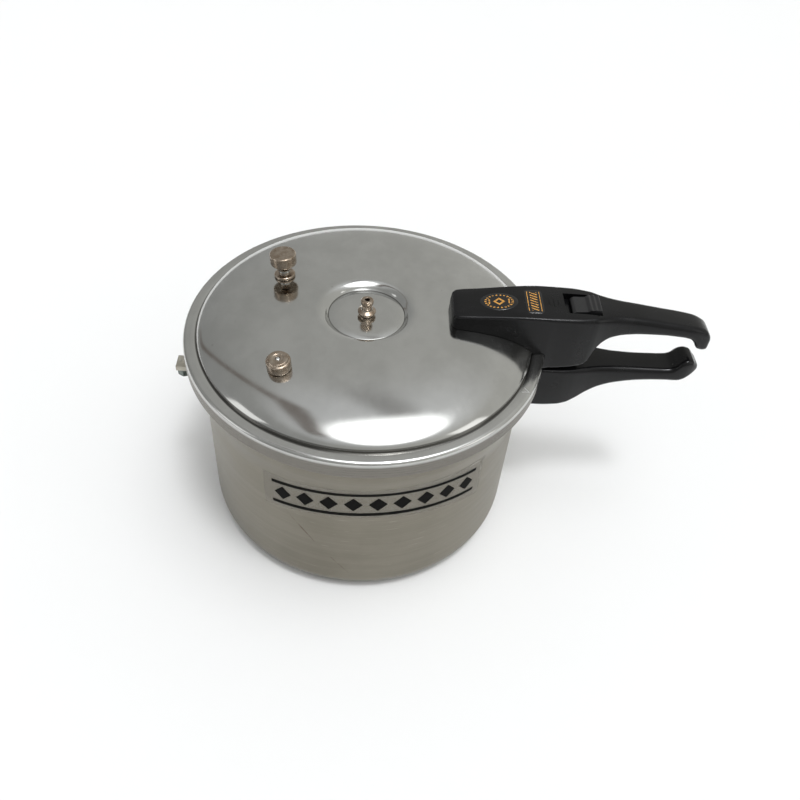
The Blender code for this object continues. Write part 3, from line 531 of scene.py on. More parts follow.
def between(x, knots, values):
    """Values between knots on a curve that never overshoots: cubics whose slope at a knot is the
    harmonic mean of the slopes of its two chords, or nought where the chords turn back."""
    step = np.diff(knots)
    chord = np.diff(values) / step
    product = chord[:-1] * chord[1:]
    total = np.where(product > 0, chord[:-1] + chord[1:], 1.0)
    slope = np.concatenate([chord[:1], np.where(product > 0, 2 * product / total, 0.0), chord[-1:]])
    cell = np.clip(np.searchsorted(knots, x, side="right") - 1, 0, len(step) - 1)
    t = (x - knots[cell]) / step[cell]
    return ((1 + 2 * t) * (1 - t) ** 2 * values[cell] + t * (1 - t) ** 2 * step[cell] * slope[cell]
            + t * t * (3 - 2 * t) * values[cell + 1] + t * t * (t - 1) * step[cell] * slope[cell + 1])


def moulding(name, stations, rows):
    """A handle along X: at each x a four-sided section with round corners.

    Stations hold x, underside, top, half width below, half width above and corner radius; values
    between them run on smooth curves.  Each corner is a quarter circle, and the two end sections
    close to their middles.
    """
    knots = stations[:, 0]
    x = np.unique(np.concatenate([np.linspace(knots[0], knots[-1], rows), knots]))
    low, high, half_low, half_high, ease = [between(x, knots, stations[:, k]) for k in range(1, 6)]
    ease = np.minimum(ease, np.minimum(0.48 * (high - low), 0.9 * np.minimum(half_low, half_high)))
    quarter = np.linspace(0.0, 0.5, 9)
    sections = []
    for side, level, start in ((-1, 0, 1.0), (1, 0, 1.5), (1, 1, 0.0), (-1, 1, 0.5)):
        half = half_high if level else half_low
        edge = high - ease if level else low + ease
        turn = np.pi * (start + quarter)
        sections.append(np.stack([
            side * (half - ease)[:, None] + ease[:, None] * np.cos(turn),
            edge[:, None] + ease[:, None] * np.sin(turn)], axis=-1))
    ring = np.concatenate(sections, axis=1)
    ring = np.concatenate([ring[:1] * 0 + ring[:1].mean(axis=1, keepdims=True), ring,
                           ring[-1:] * 0 + ring[-1:].mean(axis=1, keepdims=True)])
    x = np.concatenate([x[:1], x, x[-1:]])
    depth = np.repeat(x[:, None], ring.shape[1], axis=1)
    return surface(name, np.stack([depth, ring[..., 0], ring[..., 1] + RIM], axis=-1))


def block(low, high):
    """A box between two corners in mm, only used to cut."""
    corners = np.array([low, high])
    pick = np.array([(0, 0, 0), (1, 0, 0), (1, 1, 0), (0, 1, 0), (0, 0, 1), (1, 0, 1), (1, 1, 1), (0, 1, 1)])
    mesh = bpy.data.meshes.new("cutter")
    spots = corners[pick, np.arange(3)] * MM
    faces = [(3, 2, 1, 0), (4, 5, 6, 7), (0, 1, 5, 4), (1, 2, 6, 5), (2, 3, 7, 6), (3, 0, 4, 7)]
    mesh.from_pydata(spots.tolist(), [], faces)
    tool = bpy.data.objects.new("cutter", mesh)
    bpy.context.scene.collection.objects.link(tool)
    return tool


def carve(piece, tools):
    """Cut tools out of a piece for good, and remove them."""
    for tool in tools:
        cut = piece.modifiers.new("cut", "BOOLEAN")
        cut.operation = "DIFFERENCE"
        cut.solver = "EXACT"
        cut.object = tool
    bpy.context.view_layer.update()
    ready = piece.evaluated_get(bpy.context.evaluated_depsgraph_get())
    mesh = bpy.data.meshes.new_from_object(ready)
    piece.modifiers.clear()
    piece.data = mesh
    mesh.name = piece.name
    shade_smooth(mesh)
    for tool in tools:
        bpy.data.objects.remove(tool, do_unlink=True)
    return piece


def phenolic_finish(spot):
    """Moulded phenolic: near black, semi-gloss, with faint flow marks, dust and handling wear."""
    flow = noise(stretched(spot, (26.0, 70.0, 70.0)), 1.0, 3.0)
    grain = noise(spot, 1400.0, 2.0)
    rubbed = fade(noise(spot, 60.0, 4.0, 0.6), 0.5, 0.72)
    dust = fade(noise(spot, 700.0, 1.0), 0.80, 0.83)
    tone = mixed(fade(flow, 0.3, 0.7), (0.0030, 0.0030, 0.0034, 1.0), (0.0058, 0.0058, 0.0064, 1.0))
    tone = mixed(dust * 0.6, tone, (0.22, 0.22, 0.21, 1.0))
    rough = 0.17 + 0.06 * flow + 0.09 * rubbed + 0.04 * grain + 0.2 * dust
    return {"Base Color": tone, "Roughness": rough, "Normal": relief(flow + 0.12 * grain, 0.00012, 0.35)}


phenolic = finish("black phenolic", {"Specular IOR Level": 0.24}, phenolic_finish)
wall_outside = np.concatenate([[(0.0, 175.0), (NECK_R + 0.3, 175.0)], outer_neck + [0.3, 0.0],
                               [(WALL_R + 0.3, 80.0), (0.0, 80.0)]])
GROOVE_SECTION = ((155.2, 142.0), (161.0, 142.0), (161.0, 156.0), (155.2, 156.0))
groove_angles = np.radians(np.linspace(-1.7, 12.0, 20))
groove_shape = np.stack([np.stack([radius * np.cos(groove_angles), radius * np.sin(groove_angles),
                                   height + 0 * groove_angles], axis=-1)
                         for radius, height in GROOVE_SECTION])
groove_ring = np.transpose(groove_shape, (1, 0, 2))
groove_ends = groove_ring[[0, -1]].mean(axis=1, keepdims=True) + 0 * groove_ring[[0, -1]]
groove = surface("groove", np.concatenate([groove_ends[:1], groove_ring, groove_ends[1:]]))
screw_hole = [(0.0, 96.0), (4.7, 96.0), (4.7, 116.0), (2.3, 116.0), (2.3, 137.0), (0.0, 137.0)]
# cut in turn: the pot's wall, the saddle's plate and tongue, the bar's way in, its pocket, the screw
pot_handle = carve(moulding("lower_handle", POT_HANDLE, 150), [
    turned("wall_tool", wall_outside, 192),
    block((118.0, -15.4, 115.6), (131.4, 15.4, 144.4)),
    block((130.0, -5.9, 125.6), (163.4, 5.9, 133.4)),
    groove,
    block((150.2, -3.2, 142.0), (161.0, 3.2, 155.0)),
    turned("screw_tool", screw_hole, 48, Matrix.Translation((HANDLE_SCREW_X * MM, 0.0, 0.0)))])
dress(pot_handle, phenolic, "pot", ["pot_handle"])


def steel_finish(spot):
    """Plated steel: bright, with fine marks left by tools."""
    marks = noise(stretched(spot, (300.0, 300.0, 900.0)), 1.0, 3.0)
    tone = mixed(marks, (0.42, 0.42, 0.42, 1.0), (0.62, 0.62, 0.61, 1.0))
    return {"Base Color": tone, "Roughness": 0.18 + 0.18 * marks, "Normal": relief(marks, 0.00003, 0.4)}


plated_steel = finish("plated steel", {"Metallic": 1.0}, steel_finish)
screw_profile = eased([(0.0, -30.5), (1.6, -30.5), (2.0, -31.0), (2.0, -50.3), (4.2, -50.3), (4.2, -52.6),
                       (3.2, -53.6), (1.1, -53.6), (0.9, -52.2), (0.0, -52.2)], 0.3, count=3)
screw_place = Matrix.Translation((HANDLE_SCREW_X * MM, 0.0, RIM * MM))
handle_screw = turned("lower_handle_screw", screw_profile, 48, screw_place)
dress(handle_screw, plated_steel, "pot", ["pot_handle_screw"])

# ---------------------------------------------------------------- sealing ring
# A moulded grey rubber ring lies between the pot's lip and the lid's flange.  Steam presses into
# the open channel on its inner side and spreads it against both.

seal_corners = [(124.6, 0.5), (131.8, 0.5), (132.3, 0.0), (132.3, -5.0), (131.6, -5.7), (124.6, -5.7),
                (124.2, -4.4), (128.6, -3.9), (128.6, -1.3), (124.2, -0.8)]


def rubber_finish(spot):
    """Grey rubber with a dull bloom."""
    bloom = noise(spot, 120.0, 4.0)
    grain = noise(spot, 1500.0, 2.0)
    tone = mixed(fade(bloom, 0.3, 0.7), (0.30, 0.30, 0.285, 1.0), (0.42, 0.42, 0.40, 1.0))
    return {"Base Color": tone, "Roughness": 0.52 + 0.16 * grain, "Normal": relief(grain, 0.00006, 0.4)}


seal_rubber = finish("seal rubber", {"Metallic": 0.0}, rubber_finish)
rim_place = Matrix.Translation((0.0, 0.0, RIM * MM))
seal = turned("rubber_seal", eased(seal_corners, 0.35, closed=True, count=4), 288, rim_place, closed=True)
dress(seal, seal_rubber, "seal", ["sealing_ring"])

# ---------------------------------------------------------------- the lid
# The lid is pressed from 2.2 mm aluminium and polished: a full, squared-off dome with a round well
# in its middle, a flat flange outside a groove, a rolled edge, and a ridged skirt whose eight
# in-turned tabs catch under the pot's lugs.  A small arrow is stamped into the flange.  The skirt,
# the groove and the well's edge carry painted shade, and the arrow a painted glint.

LID_SHEET = 2.2
RIM_R = 135.0
DOME_R = 125.5
TAB_R = 129.4
SKIRT_FOOT = -11.5
RIDGE_DEPTH, RIDGE_PITCH = 0.28, 2.35
RIDGES_TOP, RIDGES_FOOT = -1.2, -10.6
WELL_RISE, WELL_UNDERSIDE = 14.6, 12.4
WELL_GROOVE = (28.3, 14.3)
WELL_RIM_R = 28.5
SHOULDER_R = 46.0
TAB_HALF_ANGLE = np.radians(9.0)
ARROW_ANGLE, ARROW_R = np.radians(-28.2), 127.8


def dome_height(radius):
    """Height of the dome over the rim: 16 mm times a power of what is left of its radius."""
    fullness = np.clip(1.0 - (radius / DOME_R) ** 4.5, 0.0, 1.0)
    return 3.4 + 16.0 * fullness ** 0.62


# the crown from its middle outwards: the flat well, its shoulder, the dome, the dome's steep edge
shoulder_r = np.array([WELL_RIM_R, 29.2, 31.0, 33.5, 35.8, 38.0, SHOULDER_R])
shoulder_z = np.array([WELL_RISE, 15.1, 16.9, 18.5, 19.15, dome_height(38.0), dome_height(SHOULDER_R)])
lip_r = np.linspace(WELL_RIM_R, SHOULDER_R - 0.5, 42)
edge_r = DOME_R - 7.0 * np.linspace(1.0, 0.13, 26)[1:] ** 1.5
dome_r = np.concatenate([np.linspace(SHOULDER_R, DOME_R - 7.5, 50), edge_r])
well = [(0.0, WELL_RISE), (10.0, WELL_RISE), (20.0, WELL_RISE), (27.7, WELL_RISE), WELL_GROOVE]
crown = np.concatenate([well,
                        np.stack([lip_r, between(lip_r, shoulder_r, shoulder_z)], axis=1)[1:],
                        np.stack([dome_r, dome_height(dome_r)], axis=1)])
direction = np.gradient(crown, axis=0)
direction /= np.linalg.norm(direction, axis=1)[:, None]
under_crown = crown + LID_SHEET * np.stack([direction[:, 1], -direction[:, 0]], axis=1)
inside = (under_crown[:, 1] > 1.4) & (under_crown[:, 0] < 123.0) & (under_crown[:, 0] > 0.5)
under_crown = under_crown[inside]
skirt_z = np.linspace(RIDGES_TOP, RIDGES_FOOT, 64)
ridges = 0.5 - 0.5 * np.cos(WHOLE_TURN * (skirt_z - RIDGES_TOP) / RIDGE_PITCH)
skirt = np.stack([RIM_R - RIDGE_DEPTH * ridges, skirt_z], axis=1)
flange = [(125.35, 3.4), (125.6, 2.75), (126.1, 2.7), (126.9, 3.0), (129.5, 3.0), (132.0, 3.0)]
tab_rows = eased([(132.8, SKIRT_FOOT), (TAB_R, SKIRT_FOOT), (TAB_R, SKIRT_FOOT + LID_SHEET),
                  (132.8, SKIRT_FOOT + LID_SHEET)], [0, 0.5, 0.5, 0], count=4)
outer_part = np.concatenate([crown, flange, arc((132.2, 0.2), 2.8, 88, 4, 14), skirt,
                             arc((134.0, SKIRT_FOOT + 1.0), 1.0, 0, -90, 6)])
inner_part = np.concatenate([[(132.8, -0.2), (132.0, 0.8), (123.3, 0.8)], under_crown[::-3],
                             [(0.0, WELL_UNDERSIDE)]])
lid_profile = np.concatenate([outer_part, tab_rows, inner_part])
lid_angles, tab_share = eighths(TAB_HALF_ANGLE)
tab_limit = 132.8 - (132.8 - TAB_R) * tab_share
is_tab = np.zeros(len(lid_profile), bool)
is_tab[len(outer_part):len(outer_part) + len(tab_rows)] = True
lid_radii = np.where(is_tab[:, None], np.maximum(lid_profile[:, :1], tab_limit[None, :]), lid_profile[:, :1])


def stand(x, y):
    """Where a fitting stands: on the dome's outer face, with local Z along its normal."""
    radius = np.hypot(x, y)
    slope = (dome_height(radius + 0.5) - dome_height(radius - 0.5))
    normal = Vector((-slope * x / radius, -slope * y / radius, 1.0)).normalized()
    spot = Vector((x * MM, y * MM, (RIM + dome_height(radius)) * MM))
    return Matrix.Translation(spot) @ normal.to_track_quat("Z", "Y").to_matrix().to_4x4()


relief_place = stand(-64.0, 37.0)
fuse_place = stand(-58.0, -64.2)
screw_places = [stand(78.0, 0.0), stand(93.0, 0.0)]
vent_place = Matrix.Translation((0.0, 0.0, (RIM + WELL_RISE) * MM))


def drill(radius, place):
    """A cylinder across the lid's sheet, only used to cut."""
    return turned("drill", [(0.0, -8.0), (radius, -8.0), (radius, 6.0), (0.0, 6.0)], 48, place)


lid = carve(turned("lid_shell_polished", lid_profile, angles=lid_angles, radii=lid_radii, place=rim_place),
            [drill(4.3, vent_place), drill(4.5, relief_place), drill(5.5, fuse_place),
             drill(2.6, screw_places[0]), drill(2.6, screw_places[1])])


def lid_finish(spot):
    """Polished aluminium: near-mirror, with faint rings, cloudy smears, specks and fine scratches.
    Painted shade darkens the skirt, the flange's groove and the well's edge; a painted glint lightens the
    arrow.
    """
    x, y, z = axes(spot)
    radius = (x * x + y * y) ** 0.5
    ring_spot = spot.node("CombineXYZ", {}, {0: radius * 1600.0, 1: x * 14.0, 2: y * 14.0})
    rings = noise(ring_spot, 1.0, 2.0)
    waves = noise(spot, 24.0, 2.0)
    smears = noise(stretched(spot, (30.0, 22.0, 30.0)), 1.0, 5.0, 0.6)
    hairs = fade(noise(stretched(spot, (60.0, 1500.0, 60.0)), 1.0, 2.0), 0.68, 0.76)
    hairs = hairs + fade(noise(stretched(spot, (1300.0, 90.0, 90.0)), 1.0, 2.0), 0.70, 0.78)
    specks = fade(noise(spot, 420.0, 1.0), 0.80, 0.835)
    # the stamped arrow, in mm out from its tip's ring and mm along it; its lighter colour is a painted glint
    turn_cos, turn_sin = np.cos(ARROW_ANGLE), np.sin(ARROW_ANGLE)
    outward = (x * turn_cos + y * turn_sin) * 1000 - ARROW_R
    sideways = (y * turn_cos - x * turn_sin) * 1000
    arrow = line(outward - 4.6 + abs(sideways) * 1.7, 0.0, 0.35, 0.25) * line(sideways, 0.0, 2.5, 0.2)
    arrow = arrow * fade(z, 0.1675, 0.1685)
    tone = mixed(fade(smears, 0.3, 0.7), (0.505, 0.505, 0.490, 1.0), (0.575, 0.575, 0.560, 1.0))
    tone = mixed(specks * 0.7, tone, (0.25, 0.24, 0.22, 1.0))
    # painted shade: the skirt under the rolled edge is darkened to a brownish grey
    skirt_painted_shade = fade(radius, 0.1336, 0.1344) * fade(z, 0.1672, 0.1640)
    tone = mixed(skirt_painted_shade * 0.92, tone, (0.170, 0.158, 0.138, 1.0))
    # painted shade: dark rings in the flange's groove and at the well's sunken edge
    groove_painted_shade = line(radius, 0.12545, 0.0005, 0.0006) + line(radius, 0.0284, 0.0001, 0.0004)
    tone = mixed(groove_painted_shade * 0.8, tone, (0.085, 0.080, 0.072, 1.0))
    # painted glint: the stamped arrow is painted lighter than the lid
    tone = mixed(arrow, tone, (0.86, 0.86, 0.85, 1.0))
    flange_share = fade(radius, 0.1262, 0.1268)
    rough = 0.085 + 0.06 * fade(smears, 0.4, 0.75) + 0.05 * rings + 0.08 * hairs + 0.2 * arrow
    rough = rough + 0.05 * flange_share
    height = 0.05 * rings + waves + 0.03 * hairs + 0.3 * arrow
    return {"Base Color": tone, "Roughness": rough, "Normal": relief(height, 0.00018, 0.5)}


lid_aluminium = finish("polished lid aluminium", {"Metallic": 1.0}, lid_finish)
dress(lid, lid_aluminium, "lid", ["lid_shell"])

# ---------------------------------------------------------------- vent pipe
# A turned and nickel-plated brass pipe stands in the well.  A weight sits on its beaded head in
# use.  A collar seats it on the lid, and a nut on a fibre washer holds it from below.


def nickel_finish(spot):
    """Worn nickel on brass: bright, brownish, with turning rings and dark tarnish in patches."""
    turning = noise(stretched(spot, (120.0, 120.0, 2600.0)), 1.0, 2.0)
    tarnish = noise(spot, 230.0, 4.0, 0.62)
    tone = mixed(fade(tarnish, 0.3, 0.7), (0.27, 0.205, 0.150, 1.0), (0.47, 0.400, 0.330, 1.0))
    rough = 0.13 + 0.12 * turning + 0.10 * fade(tarnish, 0.65, 0.35)
    return {"Base Color": tone, "Roughness": rough, "Normal": relief(turning, 0.00004, 0.5)}


def fibre_finish(spot):
    """Red vulcanised fibre."""
    grain = noise(stretched(spot, (500.0, 500.0, 2500.0)), 1.0, 3.0)
    tone = mixed(grain, (0.16, 0.04, 0.02, 1.0), (0.32, 0.10, 0.06, 1.0))
    return {"Base Color": tone, "Roughness": 0.55 + 0.2 * grain, "Normal": relief(grain, 0.00006, 0.5)}


nickel_brass = finish("worn nickel on brass", {"Metallic": 1.0}, nickel_finish)
fibre = finish("red fibre", {"Metallic": 0.0}, fibre_finish)
vent_profile = [(1.9, 14.0), (4.0, 14.0), (4.7, 13.3), (4.7, 11.0), (3.9, 9.6), (3.3, 8.9), (3.8, 8.0),
                (3.9, 7.0), (3.5, 5.9), (4.6, 5.0), (6.7, 3.9), (6.7, 2.6), (5.2, 1.6), (5.2, 0.3),
                (3.9, 0.3), (3.9, -7.6), (3.5, -8.0), (1.9, -8.0)]
vent_profile = eased(vent_profile, 0.25, closed=True, count=4)
vent = turned("vent_pipe_turned", vent_profile, 72, vent_place, closed=True)
dress(vent, nickel_brass, "lid", ["vent_pipe"])


def nut_and_washer(prefix, nodes, place, inner, flats, low, high, washer_r):
    """A chamfered hexagon nut below the sheet, and the fibre washer between them."""
    corner = flats / np.cos(np.pi / 6)
    rows = [(inner, high), (corner, high), (corner, low + 0.9), (corner - 0.9, low), (inner, low)]
    nut = hexagon(prefix + "_hex_nut", rows, flats, [0, 1, 1, 1, 0], place, True)
    dress(nut, nickel_brass, "lid", [nodes[0]])
    flat_ring(prefix + "_fibre_washer", nodes[1], washer_r[0], washer_r[1], -3.5, -2.5, place, fibre,
              "lid")


nut_and_washer("vent", ("vent_nut", "vent_washer"), vent_place, 4.2, 6.5, -7.4, -3.8, (4.3, 6.6))

# ---------------------------------------------------------------- spring-loaded relief valve
# A turned knob on a stem rests on a seat screwed through the dome.  A spring under the lid pulls
# the stem down, and too much pressure lifts knob and stem together.

seat_profile = [(2.2, 5.8), (3.2, 5.8), (4.3, 5.2), (4.6, 4.4), (4.0, 3.6), (3.4, 3.2), (7.4, 2.4),
                (8.0, 1.9), (8.0, 0.3), (4.1, 0.3), (4.1, -8.6), (3.7, -9.0), (2.2, -9.0)]
seat = turned("relief_valve_seat", eased(seat_profile, 0.3, closed=True), 64, relief_place, closed=True)
dress(seat, nickel_brass, "lid", ["relief_seat"])
nut_and_washer("relief", ("relief_nut", "relief_washer"), relief_place, 4.4, 6.5, -7.8, -3.8, (4.5, 7.0))
stem_profile = [(0.0, 17.6), (1.3, 17.6), (1.7, 17.2), (1.7, 11.2), (3.3, 10.9), (3.3, 10.0), (1.7, 9.4),
                (1.7, 8.6), (2.9, 7.6), (2.9, 6.4), (1.7, 6.0), (1.7, -19.2), (1.3, -19.6), (0.0, -19.6)]
stem = turned("relief_valve_stem", eased(stem_profile, 0.5), 48, relief_place)
dress(stem, nickel_brass, "relief", ["relief_stem"])
knob_profile = [(0.0, 20.2), (9.3, 20.2), (9.9, 19.6), (9.9, 12.1), (9.4, 11.6), (2.0, 11.6), (2.0, 18.0),
                (0.0, 18.0)]
knob = turned("relief_valve_knob", eased(knob_profile, 0.3), 96, relief_place)
dress(knob, nickel_brass, "relief", ["relief_knob"])
flat_ring("relief_spring_plate", "relief_retainer", 2.0, 4.6, -18.8, -17.5, relief_place, plated_steel,
          "relief")


def coil(name, turns, radius, low, high, wire, place):
    """A wire along a helix: its centre climbs evenly as it turns, and each section is a circle
    across the helix.  Both ends close to a point on the centre line."""
    share = np.linspace(0.0, 1.0, int(turns * 40) + 1)
    angle = share * turns * WHOLE_TURN
    centre = np.stack([radius * np.cos(angle), radius * np.sin(angle), low + (high - low) * share], axis=-1)
    forward = np.gradient(centre, axis=0)
    forward /= np.linalg.norm(forward, axis=1)[:, None]
    outward = np.stack([np.cos(angle), np.sin(angle), 0 * angle], axis=-1)
    upward = np.cross(forward, outward)
    around = np.linspace(0.0, WHOLE_TURN, 12, endpoint=False)
    thick = np.full(len(share), wire)
    thick[[0, -1]] = 0.0
    rim = outward[:, None] * np.cos(around)[None, :, None] + upward[:, None] * np.sin(around)[None, :, None]
    return surface(name, centre[:, None] + thick[:, None, None] * rim, place)


spring = coil("relief_valve_spring", 3.5, 3.2, -16.6, -9.8, 0.45, relief_place)
spring.data.materials.append(plated_steel)
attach(spring, "lid")
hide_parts("relief_spring")
spring_axis = relief_place.to_3x3() @ Vector((0.0, 0.0, 1.0))
spring_top = relief_place @ Vector((0.0, 0.0, -9.4 * MM))
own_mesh(spring)

# ---------------------------------------------------------------- fusible safety plug
# A stepped plug of turned and plated brass goes through the dome, held from below by a nut on a
# fibre washer.  Its core of soft tin alloy melts out if the pot boils dry.

plug_profile = [(1.8, 9.2), (3.6, 9.2), (4.0, 9.6), (6.6, 9.6), (7.1, 9.1), (7.3, 8.0), (8.1, 7.8),
                (8.6, 7.2), (8.6, 0.9), (8.0, 0.3), (5.1, 0.3), (5.1, -8.1), (4.7, -8.5), (1.8, -8.5)]
plug = turned("fuse_plug_turned", eased(plug_profile, 0.3, closed=True), 96, fuse_place, closed=True)
dress(plug, nickel_brass, "lid", ["fuse_plug"])


def tin_finish(spot):
    """Cast tin: pale and a little lumpy."""
    lumps = noise(spot, 900.0, 3.0)
    tone = mixed(lumps, (0.55, 0.55, 0.54, 1.0), (0.75, 0.75, 0.74, 1.0))
    return {"Base Color": tone, "Roughness": 0.28 + 0.2 * lumps, "Normal": relief(lumps, 0.0001, 0.5)}


alloy_profile = eased([(0.0, 9.3), (1.0, 9.2), (1.5, 8.9), (1.5, -8.1), (1.2, -8.3), (0.0, -8.3)], 0.3)
alloy = turned("fuse_core", alloy_profile, 32, fuse_place)
dress(alloy, finish("soft tin alloy", {"Metallic": 1.0}, tin_finish), "lid", ["fuse_alloy"])
nut_and_washer("fuse", ("fuse_nut", "fuse_washer"), fuse_place, 5.4, 8.5, -7.6, -3.8, (5.5, 8.6))

# ---------------------------------------------------------------- the lid handle
# The upper handle is moulded from the same black phenolic.  Two screws from inside the lid hold
# its long foot, which is shaped to the dome and reaches down over the rim, and its slim grip arches
# away over the lower handle.  A recess on top holds the lock's slider.

LID_HANDLE = np.array((
    (61.8, -13.0, 25.0, 13.0, 11.0, 1.6), (63.2, -13.0, 28.6, 16.8, 14.8, 1.8),
    (66.5, -13.0, 29.9, 18.6, 16.6, 1.8), (84.0, -13.0, 31.5, 21.0, 17.6, 1.8),
    (100.0, -13.0, 33.0, 23.0, 18.6, 1.8), (117.0, -13.0, 34.2, 25.5, 19.7, 1.9),
    (128.0, -13.0, 34.5, 23.5, 20.3, 2.2), (140.0, -13.0, 34.5, 20.7, 20.5, 2.8),
    (152.0, -12.2, 34.4, 20.4, 20.3, 3.2), (165.0, -10.5, 34.0, 18.6, 18.6, 3.8),
    (168.0, -5.5, 33.8, 17.8, 18.0, 4.0), (171.0, 2.0, 33.4, 16.6, 17.0, 4.2),
    (175.0, 7.8, 33.0, 15.2, 15.8, 4.6), (182.0, 12.4, 32.4, 13.6, 14.2, 5.0),
    (192.0, 14.8, 31.4, 12.7, 13.0, 5.2), (205.0, 15.8, 29.9, 12.3, 12.4, 5.2),
    (220.0, 15.7, 27.7, 12.0, 12.0, 5.0), (235.0, 14.5, 25.5, 11.6, 11.6, 4.6),
    (243.0, 12.7, 24.2, 11.2, 11.2, 4.6), (247.5, 8.8, 23.2, 10.7, 10.7, 4.6),
    (251.5, 3.0, 21.6, 10.0, 10.0, 4.4), (255.5, 1.8, 19.0, 9.2, 9.2, 3.6),
    (258.3, 2.2, 15.4, 8.2, 8.2, 2.6), (259.6, 3.8, 12.0, 6.6, 6.6, 1.2)))

lid_cover = np.concatenate([[(0.0, 8.0), (44.0, 10.0)],
                            np.stack([dome_r, dome_height(dome_r) + 0.3], axis=1)[4:],
                            [(125.8, 3.3), (132.3, 3.3)], arc((132.2, 0.2), 3.2, 80, 0, 10),
                            [(135.4, -30.0), (0.0, -30.0)]])
# cut in turn: the lid's outer face, the slider's recess, the slot for the lock's bar
lid_handle = carve(moulding("upper_handle", LID_HANDLE, 190), [
    turned("lid_tool", lid_cover, 288, rim_place),
    block((144.6, -11.4, RIM + 29.0), (171.5, 11.4, RIM + 50.0)),
    block((150.4, -3.1, RIM - 20.0), (160.6, 3.1, RIM + 31.0))])
dress(lid_handle, phenolic, "lid", ["lid_handle"])

lid_screw_profile = eased([(0.0, 7.5), (1.7, 7.5), (2.1, 7.0), (2.1, -3.8), (4.3, -3.8), (4.3, -5.6),
                           (3.4, -6.6), (1.0, -6.6), (0.8, -5.4), (0.0, -5.4)], 0.3, count=3)
for number, place in enumerate(screw_places, start=1):
    screw = turned(f"upper_handle_screw_{number}", lid_screw_profile, 40, place)
    dress(screw, plated_steel, "lid", [f"lid_handle_screw_{number}"])
    flat_ring(f"upper_handle_washer_{number}", f"lid_handle_washer_{number}", 2.5, 5.6, -3.5, -2.6, place,
              plated_steel, "lid")

# ---------------------------------------------------------------- inlays of the lid handle
# Two thin glossy plates are let into the handle's top, an oval and an oblong.  Each carries a plain
# gilt ornament: rings of dots, and short bars.


def handle_top(x):
    """Height of the upper handle's top over the rim."""
    return between(x, LID_HANDLE[:, 0], LID_HANDLE[:, 2])


def inlay(name, middle, half_x, half_y, power, thick):
    """A low plate on the handle's top, with a superellipse outline.

    Its rim is at half_x cos, half_y sin, each to the power 2/power.  The height is the handle's top
    plus `thick`, eased down to just under the top at the rim.
    """
    angles = np.linspace(0.0, WHOLE_TURN, 96, endpoint=False)
    reach = np.array([0.0, 0.3, 0.6, 0.85, 0.94, 0.98, 1.0, 1.0, 0.0])[:, None]
    lift = np.array([1.0, 1.0, 1.0, 1.0, 0.95, 0.7, 0.1, -1.0, -1.0])[:, None] * thick
    wide = np.sign(np.cos(angles)) * np.abs(np.cos(angles)) ** (2 / power)
    deep = np.sign(np.sin(angles)) * np.abs(np.sin(angles)) ** (2 / power)
    x = middle + half_x * reach * wide
    height = handle_top(x) + lift + RIM
    marks = np.stack([reach * wide * half_x, reach * deep * half_y, 0 * x], axis=-1)
    return surface(name, np.stack([x, half_y * reach * deep, height], axis=-1), marks=marks)


RING_HALF = (12.4, 9.0)
GILT = (0.62, 0.30, 0.055, 1.0)
INK = (0.006, 0.006, 0.0065, 1.0)


def oval_finish(spot):
    """Glossy black with a gilt ring of dots, a lozenge and two short bars."""
    across, up = axes(spot.node("Attribute", {"attribute_name": "marks"}, {}, output=1))[:2]
    ring = ((across / RING_HALF[0]) ** 2.0 + (up / RING_HALF[1]) ** 2.0) ** 0.5
    angle = spot.node("Math", {"operation": "ARCTAN2"}, {0: up / RING_HALF[1], 1: across / RING_HALF[0]})
    beads = spot.node("Math", {"operation": "COSINE"}, {0: angle * 22.0})
    dots = fade(beads, 0.0, 0.25) * line(ring, 0.80, 0.055, 0.02)
    lozenge = 1 - fade(abs(across) / 4.6 + abs(up) / 4.4, 0.9, 1.0)
    hole = 1 - fade(abs(across) / 2.6 + abs(up) / 2.4, 0.9, 1.0)
    bars = line(abs(across), 7.2, 0.45, 0.15) * line(up, 0.0, 2.6, 0.2)
    print_mask = dots.maths("MAXIMUM", dots, lozenge - hole)
    print_mask = print_mask.maths("MAXIMUM", print_mask, bars)
    wear = fade(noise(spot, 900.0, 2.0), 0.28, 0.5)
    tone = mixed(print_mask * wear, INK, GILT)
    return {"Base Color": tone, "Roughness": 0.16 + 0.22 * print_mask + 0.06 * noise(spot, 300.0)}


def oblong_finish(spot):
    """Glossy black with a gilt row of bars between two rules."""
    across, up = axes(spot.node("Attribute", {"attribute_name": "marks"}, {}, output=1))[:2]
    rules = line(abs(across), 4.6, 0.22, 0.1) * line(up, 0.0, 11.2, 0.1)
    cell = spot.node("Math", {"operation": "WRAP"}, {0: up + across * 0.5, 1: -1.5, 2: 1.5})
    bars = line(cell, 0.0, 0.5, 0.15) * line(across, 0.0, 2.6, 0.15) * line(up, 0.0, 10.6, 0.1)
    print_mask = rules.maths("MAXIMUM", rules, bars)
    wear = fade(noise(spot, 900.0, 2.0), 0.28, 0.5)
    tone = mixed(print_mask * wear, INK, GILT)
    return {"Base Color": tone, "Roughness": 0.18 + 0.22 * print_mask + 0.06 * noise(spot, 300.0)}


oval = inlay("oval_inlay", 96.4, 13.9, 9.8, 2.0, 0.35)
oval.data.materials.append(finish("gilt oval print", {"Specular IOR Level": 0.5}, oval_finish))
oblong = inlay("oblong_inlay", 122.0, 6.6, 13.2, 7.0, 0.3)
oblong.data.materials.append(finish("gilt oblong print", {"Specular IOR Level": 0.5}, oblong_finish))
for plate in (oval, oblong):
    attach(plate, "lid")

# three small ribs across the top, in front of the slider: where each stands, and its half length
for number, (middle, half_length) in enumerate(((133.6, 3.6), (137.0, 4.6), (140.4, 3.6)), start=1):
    rib = inlay(f"direction_rib_{number}", middle, 0.5, half_length, 4.0, 0.35)
    rib.data.materials.append(phenolic)
    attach(rib, "lid")

